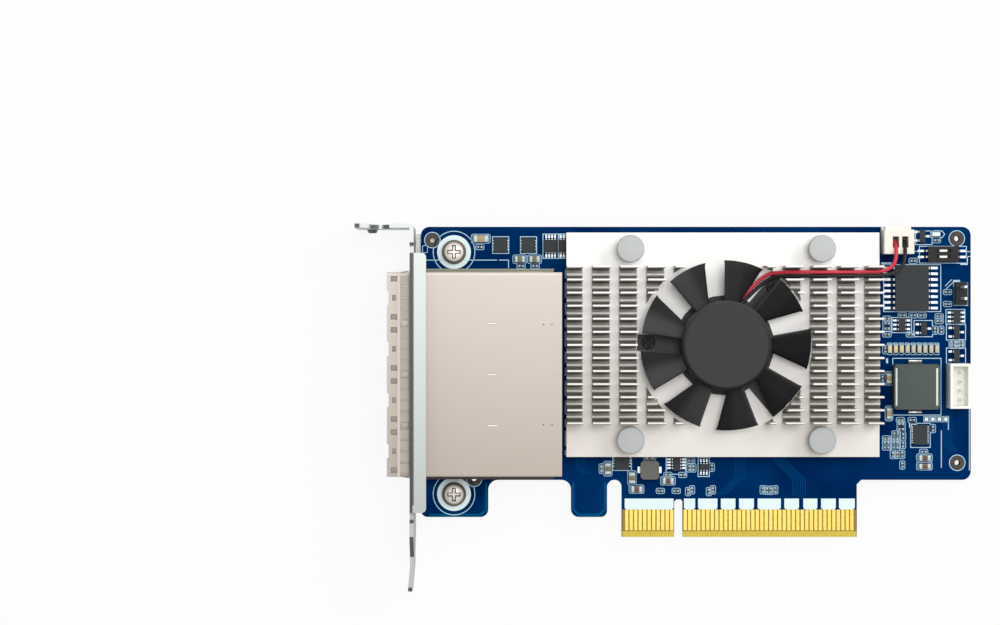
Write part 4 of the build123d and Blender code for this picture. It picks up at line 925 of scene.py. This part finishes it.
def flat(shape, x, y, length, width, z=PAD_Z):
    """A flat patch that faces up."""
    a, b = length / 2, width / 2
    shape.faces([(*corner, z) for corner in box(x - a, x + a, y - b, y + b)], [(0, 1, 2, 3)])


outline(-56.3, 63.95, 0.7, 1.2, 0.2)
for x, y in ALONG_X:
    outline(x, y, 1.3, 0.6)
    for side in (-0.5, 0.5):
        flat(small_pads, x + side, y, 0.4, 0.5)
for x, y in ALONG_Y:
    outline(x, y, 0.6, 1.3)
    for side in (-0.5, 0.5):
        flat(small_pads, x, y + side, 0.5, 0.4)
for places in CERAMIC.values():
    for x, y, length, width, height in places:
        if width == ROW_W:
            for side in BOTH:
                arch = [(-0.6, 0.95), (-0.4, 1.3), (0.4, 1.3), (0.6, 0.95)]
                arch = [(x + across, y + side * out) for across, out in arch]
                small_lines.ribbon(arch[::-side], SMALL_LINE_W, SILK_Z)
            flat(small_pads, x, y + 0.95, 0.9, 0.35)
            continue
        longer, wider = (0.5, 0) if length > width else (0, 0.5)
        outline(x, y, length + longer, width + wider, 0.25, 0.4)
        for side in BOTH:
            if length > width:
                flat(small_pads, x + side * length / 2, y, 0.5, width)
            else:
                flat(small_pads, x, y + side * width / 2, length, 0.5)
# A dark patch under the row of nine capacitors: painted shade between and below them.
shades = Shape("shaded_gaps", row_shade)
flat(shades, 52.12, 41.65, 11.5, 2.3, TRACE_Z)
shades.piece(finish="solder_mask")

# Outlines of the larger parts, as (left, right, low, top).
LARGE = [
    (45.55, 58.25, 50.07, 60.5), (53.5, 63.93, 60.84, 64.57), (61.25, 64.2, 51.45, 56.55),
    (59.4, 63.6, 47.3, 50.55), (47.4, 51.75, 45.4, 48.75), (52.3, 56.4, 44.5, 48.1),
    (59.5, 63.75, 43.75, 47.2), (59.5, 63.75, 38.55, 42.0), (47.6, 58.3, 27.1, 39.7),
    (51.55, 55.9, 19.9, 25.27), (-2.75, 1.6, 13.95, 18.1), (4.35, 6.85, 13.45, 17.7),
    (-14.6, -10.45, 14.8, 18.2), (-41.3, -37.7, 63.0, 66.7), (-35.1, -31.5, 63.0, 66.7),
    (-30.1, -26.7, 61.9, 67.3), (-26.5, -23.5, 61.9, 67.3), (52.65, 56.3, 64.95, 67.98),
]
for sides in LARGE:
    print_lines.ribbon(box(*sides), LINE_W, SILK_Z, closed=True)
POINTED = [(56.05, 66.52), (58.56, 66.52), (59.1, 67.25), (58.56, 67.99), (56.05, 67.99)]
print_lines.ribbon(POINTED, LINE_W, SILK_Z, closed=True)

# Heavy marks, as (left, right, low, top).
MARKS = [
    (45.0, 47.3, 60.5, 61.0), (63.85, 64.25, 60.44, 62.3), (62.6, 63.85, 60.44, 60.75),
    (60.98, 62.53, 56.54, 57.1), (60.98, 61.45, 55.6, 56.54), (51.2, 51.8, 24.3, 24.95),
    (51.2, 52.95, 24.95, 25.5), (46.1, 46.55, 38.6, 39.7),
]
for sides in MARKS:
    print_lines.faces([(*corner, SILK_Z) for corner in box(*sides)], [(0, 1, 2, 3)])

# Thin printed lines, each a path.
LINES = [
    [(63.93, 63.4), (64.8, 63.4)], [(63.93, 62.3), (64.8, 62.3)], [(52.5, 63.45), (53.4, 63.45)],
    [(59.2, 55.7), (60.67, 57.2)], [(59.1, 54.8), (61.0, 56.6)], [(59.94, 23.8), (59.94, 25.5)],
    [(58.37, 15.4), (58.37, 23.7)], [(64.6, 14.8), (64.6, 28.4)],
    [(-56.1, 61.51), (-40.3, 61.51)], [(-39.86, 61.51), (-37.75, 61.51), (-37.75, 59.75)],
]
for path in LINES:
    print_lines.ribbon(path, LINE_W, SILK_Z)

# Dashes beside the cage, on a line along Y.
DASH_X, DASH_W = -25.1, 0.27
DASHES = [
    (59.37, 57.46), (56.49, 53.09), (51.96, 49.34), (48.4, 46.56), (45.65, 42.25), (41.2, 38.6),
    (37.6, 35.8), (34.75, 31.35), (30.29, 27.25), (26.18, 24.47), (23.56, 20.23), (19.3, 18.16),
]
dashes = Shape("printed_dashes", silk_soft)
for high, low in DASHES:
    dashes.ribbon([(DASH_X, high), (DASH_X, low)], DASH_W, SILK_Z)
dashes.piece(finish="solder_mask")

# Faint traces under the mask.
traces = Shape("covered_traces", trace)
# Groups of them: count, width, shift from one to the next, and the first one's path.
TRACES = [
    (6, 0.2, (0.55, 0), [(20.6, 17.6), (25.4, 12.8), (25.4, 9.2)]),
    (5, 0.16, (0.5, 0), [(8.6, 9.4), (12.6, 13.4), (12.6, 17.6)]),
    (5, 0.16, (0.5, 0), [(-22.6, 20.0), (-22.6, 15.2), (-21.4, 14.0)]),
    (5, 0.16, (0.45, 0), [(58.9, 29.5), (58.9, 20.5), (60.4, 19.0)]),
    (5, 0.16, (0, -0.5), [(-56.4, 11.4), (-53.4, 11.4), (-51.6, 9.6)]),
]
for count, width, (right, up), first in TRACES:
    for i in range(count):
        traces.ribbon([(x + right * i, y + up * i) for x, y in first], width, TRACE_Z)
traces.piece(finish="solder_mask")

# Round inner corners of the board, beside the notches and at the top of the slot.
NOTCH_TOP, INTO_BOARD = 12.7, 0.05
corners = Shape("notch_corners", mask)
for x, way, radius in ((-42.24, 1, 2.2), (-23.85, -1, 2.2), (-15.86, 1, 1.6), (-12.6, -1, 1.6)):
    middle_x, middle_y = x + way * radius, NOTCH_TOP - radius
    rim = [(x - INTO_BOARD * way, NOTCH_TOP + INTO_BOARD), (x - INTO_BOARD * way, middle_y)]
    for turn in range(0, 91, 10):
        across, up = way * radius * cos(radians(turn)), radius * sin(radians(turn))
        rim.append((middle_x - across, middle_y + up))
    rim.append((middle_x, NOTCH_TOP + INTO_BOARD))
    corners.prism(rim if way > 0 else rim[::-1], -BOARD_T, -0.002)
corners.piece(finish="solder_mask")

# Foot of the fan's left arm, where the blade beside it passes over the arm.
foot = Shape("arm_foot", dark_metal)
foot.prism([(-8.4, 39.7), (-0.6, 39.4), (-0.6, 41.3), (-8.4, 41.35)], 4.25, 4.95)
foot.piece(finish="fan_black")

# Pale border of the board round the notches, where no copper lies under the mask.
BORDERS = [
    [(-23.4, 12.2), (-23.4, 6.2), (-22.1, 4.9), (-17.6, 4.9), (-16.3, 6.2), (-16.3, 12.2)],
    [(-42.7, 12.0), (-42.7, 6.1), (-43.9, 4.9), (-55.3, 4.9)],
]
border = Shape("pale_border", pale_mask)
for path in BORDERS:
    border.ribbon(path, 0.5, TRACE_Z)
border.piece(finish="solder_mask")

# Gull wings: a shoulder at the body, a slope, and a foot on a pad.
LEAD_LOW, LEAD_SHEET = 0.03, 0.14


def gull(shape, x, y, side, along_x, reach, width, rise):
    """One lead that leaves a body and stands on the board."""
    foot_top, under = LEAD_LOW + LEAD_SHEET, rise - LEAD_SHEET
    section = [(-0.05, rise), (0.2 * reach, rise), (0.55 * reach, foot_top), (reach, foot_top)]
    section += [(reach, LEAD_LOW), (0.45 * reach, LEAD_LOW), (0.1 * reach, under), (-0.05, under)]
    points = []
    for across in (-width / 2, width / 2):
        for out, z in section:
            right, up = (side * out, across) if along_x else (across, side * out)
            points.append((x + right, y + up, z))
    made = shape.faces(points, solid_faces(len(section)))
    bmesh.ops.recalc_face_normals(shape.bm, faces=made)


wings = Shape("lead_skins", tin)
# Rows of leads: centre, half length to the body's face, reach, width, height, pitch, count,
# sides, and whether they point along X.
LEAD_ROWS = [
    (51.56, 55.3, 3.7, 1.5, 0.5, 1.3, 1.27, 8, BOTH, True),
    (58.52, 62.87, 3.35, 1.3, 0.45, 0.9, 1.34, 2, BOTH, True),
    (-28.4, 64.6, 1.45, 0.7, 0.32, 0.55, 0.65, 4, BOTH, False),
    (-25.15, 64.6, 1.45, 0.7, 0.32, 0.55, 0.65, 4, BOTH, False),
    (-0.45, 16.3, 0.85, 0.85, 0.34, 0.55, 0.65, 4, BOTH, True),
    (5.63, 15.6, 0.7, 0.7, 0.3, 0.5, 0.65, 3, BOTH, False),
    (61.7, 48.9, 0.75, 0.75, 0.4, 0.55, 0.95, 3, BOTH, True),
    (49.55, 47.15, 0.75, 0.75, 0.4, 0.55, 0.95, 3, BOTH, True),
]
for x, y in ((54.05, 66.8), (61.7, 45.5), (61.7, 40.25), (54.4, 46.3)):
    LEAD_ROWS.append((x, y, 0.625, 0.7, 0.42, 0.55, 1.9, 2, (-1,), True))
    LEAD_ROWS.append((x, y, 0.625, 0.7, 0.42, 0.55, 0, 1, (1,), True))
for x, y, half, reach, width, rise, pitch, count, sides, along_x in LEAD_ROWS:
    for side in sides:
        for i in range(count):
            shift = pitch * (i - (count - 1) / 2)
            place = (x + side * half, y + shift) if along_x else (x + shift, y + side * half)
            gull(wings, *place, side, along_x, reach, width, rise)
            far = side * (half + reach)
            if along_x:
                flat(pads, x + far, y + shift, reach * 1.1, width * 1.15)
            else:
                flat(pads, x + shift, y + far, width * 1.15, reach * 1.1)
LEADS = ["wide_chip_leads", "dip_leads", "small_chip_leads", "transistor_leads"]
wings.piece(replaces=LEADS, finish="tin", smooth=20)

# Pads at the edges of the leadless chips, as (x, y, half length, pitch, count), and four test pads.
LEADLESS = [
    (-39.5, 64.85, 1.53, 0.65, 4), (-33.3, 64.85, 1.53, 0.65, 4),
    (-12.6, 16.7, 1.65, 0.64, 4), (53.65, 22.75, 1.55, 0.5, 8),
]
for x, y, half, pitch, count in LEADLESS:
    for i in range(count):
        shift = pitch * (i - (count - 1) / 2)
        for side in BOTH:
            flat(pads, x + side * (half + 0.16), y + shift, 0.36, 0.26)
for x in (55.07, 56.5, 57.97, 59.4):
    flat(pads, x, 26.18, 0.75, 0.75)
    print_lines.ribbon(box(x - 0.6, x + 0.6, 25.6, 26.8), 0.12, SILK_Z, closed=True)

# Rings round the tooling holes and the screws.
rings = Shape("hole_rings", ring_brown, silk_block)
for x, y in ((-54.65, 65.95), (61.8, 66.3), (61.9, 16.5), (-45.4, 12.95)):
    rings.ring(x, y, 0.62, 1.53, SILK_Z, 0)
    print_lines.ring(x, y, 1.65, 1.82, SILK_Z)
for y in SCREW_Y:
    rings.ring(SCREW_X, y, 1.7, 3.75, PAD_Z, 1)
    print_lines.ring(SCREW_X, y, 4.55, 4.72, SILK_Z)
rings.piece(finish="solder_mask")
print_lines.piece(finish="solder_mask")
pads.piece(finish="tin")
small_pads.piece(finish="tin")
small_lines.piece(finish="solder_mask")

# Printed blocks above the edge contacts, the bare laminate between the contacts, and the bevel.
blocks = Shape("printed_blocks", silk_block)
BLOCK_LOW, BLOCK_MID, BLOCK_HIGH, BLOCK_CUT = 6.12, 6.5, 8.55, 0.4
BLOCKS = [
    (-11.95, -1.1), (1.21, 3.7), (4.34, 8.65), (9.41, 12.65), (13.45, 16.75), (17.58, 22.73),
    (23.5, 26.75), (27.72, 30.83), (31.67, 34.94), (35.63, 39.16),
]
for x0, x1 in BLOCKS:
    points = [(x0, BLOCK_MID), (x0 + BLOCK_CUT, BLOCK_LOW), (x1 - BLOCK_CUT, BLOCK_LOW)]
    points += [(x1, BLOCK_MID), (x1, BLOCK_HIGH), (x0, BLOCK_HIGH)]
    blocks.faces([(*point, SILK_Z) for point in points], [tuple(range(6))])
blocks.piece(finish="solder_mask")

KEY_HALF, TAB_LEFT, TAB_RIGHT = 0.95, -12.6, 39.6
BEVEL_Y, BEVEL_DEPTH, CONTACT_TOP = 1.3, 0.4, 6.1
edge = Shape("edge_laminate", gold_gap, bevel_band)
for x0, x1 in ((TAB_LEFT + 0.1, -KEY_HALF), (KEY_HALF, TAB_RIGHT - 0.1)):
    for z, deep, order in (
        (0.01, 0.01 - BEVEL_DEPTH, (0, 1, 2, 3)),
        (-BOARD_T - 0.01, BEVEL_DEPTH - BOARD_T - 0.01, (3, 2, 1, 0)),
    ):
        quad = [(*corner, z) for corner in box(x0, x1, BEVEL_Y + 0.01, CONTACT_TOP)]
        edge.faces(quad, [order], 0)
        quad = [(x0, 0.0, deep), (x1, 0.0, deep), (x1, BEVEL_Y, z), (x0, BEVEL_Y, z)]
        edge.faces(quad, [order], 1)
edge.piece(finish="gold")

# Large inductor: a pressed block with rounded corners, strips of painted highlight along its
# bevels, and folded terminals, in painted shade where they stand beside the block.
coil = Shape("inductor_skin", ferrite, bevel_highlight)
COIL_LEFT, COIL_RIGHT, COIL_LOW, COIL_HIGH = 47.37, 57.47, 28.45, 38.45
FOOT_LEFT, FOOT_RIGHT, FOOT_OUT, FOOT_LIP = 50.87, 53.97, 0.45, 0.5
coil.prism(rounded(COIL_LEFT, COIL_RIGHT, COIL_LOW, COIL_HIGH, 0.6, 5), 0.2, 3.99, 0, 0.22)
# Pale strips on the top: painted highlights along the bevels.
for x0, x1 in ((COIL_LEFT + 0.3, 48.05), (56.6, 57.05)):
    coil.block(x0, x1, 29.3, 37.56, 3.9, 4.015, 1, 0.01)
coil.piece(replaces=["large_inductor"], finish="ferrite")
feet = Shape("inductor_feet", lap_dark, bright_tin)
for inner, side in ((COIL_HIGH, 1), (COIL_LOW, -1)):
    bend = inner + side * FOOT_OUT
    outer = bend + side * FOOT_LIP
    feet.block(FOOT_LEFT, FOOT_RIGHT, *sorted((inner, bend)), 0.02, 1.2, 0, 0.05)
    feet.block(FOOT_LEFT, FOOT_RIGHT, *sorted((bend, outer)), 0.02, 1.1, 1, 0.12)
feet.piece(replaces=["large_inductor_terminals"], finish="tin")

# Pale sheet between the spring fingers, and grey plates under the windows of the cage, painted
# shade of the cage's inside seen through them.
PORTS, PORT_PITCH, FIRST_PORT, FINGER_PITCH = 4, 11.1625, 14.0, 2.46
seams = Shape("finger_seams", cage)
window_shades = Shape("window_shades", window_shade_metal)
for i in range(PORTS):
    port_y = FIRST_PORT + PORT_PITCH * (i + 0.5)
    for shift in (-FINGER_PITCH, 0, FINGER_PITCH):
        seams.centred(-60.5, port_y + shift, 1.8, 0.36, 10.62, 10.96, 0, 0.03)
    # Plates under the three windows of each port: painted shade of the inside.
    for length, shift in ((1.46, -4.16), (0.81, 0), (1.46, 4.16)):
        window_shades.centred(-62.78, port_y + shift, length + 0.2, 1.4, 9.9, 10.2, 0, 0.05)
    if i:
        seams.centred(-60.5, FIRST_PORT + PORT_PITCH * i, 1.8, 1.3, 10.62, 10.96, 0, 0.03)
seams.piece(finish="cage_steel")
window_shades.piece(finish="cage_steel")

# Shade inside the plug's two windows, and the four serial pins with dark tips.
inside = Shape("plug_window_shade", hole_dark)
for x in (47.4, 49.45):
    inside.block(x - 0.68, x + 0.68, 64.17, 66.58, 4.02, 4.08, 0, 0.01)
inside.piece(finish="cream_plastic")
POSTS, POST_X, FIRST_POST_Y, POST_PITCH = 4, 62.0, 36.65, 2.0
posts = Shape("serial_pin_skins", white_plastic, dark_tin)
for i in range(POSTS):
    y = FIRST_POST_Y - POST_PITCH * i
    posts.centred(POST_X, y, 0.5, 0.5, -2.6, 4.93, 0, 0.1)
    posts.centred(POST_X, y, 0.28, 0.28, 4.9, 5.0, 1, 0.04)
posts.piece(replaces=["serial_pins"], finish="tin")

# Folded laps beside the cage, the far one in painted light and the near one in painted shade,
# with painted shade in the joints along the far one and in the dimples of its cover.
LAP_LEFT, LAP_RIGHT = -55.9, -27.85
laps = Shape("cage_laps", lap_pale, lap_dark, hole_dark)
laps.block(LAP_LEFT, LAP_RIGHT, 58.68, 59.14, 4.7, 5.2, 0, 0.1)
laps.block(LAP_LEFT, LAP_RIGHT, 13.51, 13.97, 4.7, 5.2, 1, 0.1)
for x0, x1 in ((-49.1, -47.3), (-44.5, -35.2), (-28.9, -27.9)):
    laps.block(x0, x1, 58.67, 58.8, 5.18, 5.3, 2, 0.02)
for y in (25.35, 47.25):
    for x in (-30.15, -28.3):
        laps.ring(x, y, 0.0001, 0.16, 10.61, 2, 12)
laps.piece(finish="cage_steel")

# Floor and lights
floor_material = bpy.data.materials.new("floor")
floor_material.use_nodes = True
tree = floor_material.node_tree
tree.nodes.clear()
matte = add_node(tree, "ShaderNodeBsdfDiffuse", {"Color": grey(0.9)})
glow = add_node(tree, "ShaderNodeEmission", {"Color": WHITE})
path = tree.nodes.new("ShaderNodeLightPath")
seen = calculate(tree, "MAXIMUM", path.outputs["Is Camera Ray"], path.outputs["Is Glossy Ray"])
share = calculate(tree, "MULTIPLY", seen, 0.9)
inputs = {"Fac": share, 1: matte.outputs["BSDF"], 2: glow.outputs["Emission"]}
mixed = add_node(tree, "ShaderNodeMixShader", inputs)
add_node(tree, "ShaderNodeOutputMaterial", {"Surface": mixed.outputs["Shader"]})
floor_mesh = bpy.data.meshes.new("floor")
size, level = 2.0, cad_box[0][2] - 0.0001
corners = [(*corner, level) for corner in box(-size, size, -size, size)]
floor_mesh.from_pydata(corners, [], [(0, 1, 2, 3)])
floor_mesh.materials.append(floor_material)
floor = linked("floor", floor_mesh)

world = bpy.data.worlds.new("world")
world.use_nodes = True
background = world.node_tree.nodes["Background"]
set_inputs(world.node_tree, background, {"Color": WHITE, "Strength": 0.45})
bpy.context.scene.world = world


def area_light(name, place, target, width, height, power):
    """A soft box that points at a target, in metres."""
    data = bpy.data.lights.new(name, "AREA")
    data.shape = "RECTANGLE"
    data.size, data.size_y, data.energy = width, height, power
    lamp = linked(name, data)
    lamp.location = place
    lamp.rotation_euler = (Vector(target) - Vector(place)).to_track_quat("-Z", "Y").to_euler()


LIGHT_TARGET = (0, 0.04, 0)
area_light("overhead", (0.06, 0.16, 0.95), LIGHT_TARGET, 0.35, 0.35, 3.6)
area_light("key", (0.5, 0.35, 0.6), LIGHT_TARGET, 0.4, 0.4, 2.0)

bpy.context.scene.view_settings.view_transform = "Standard"
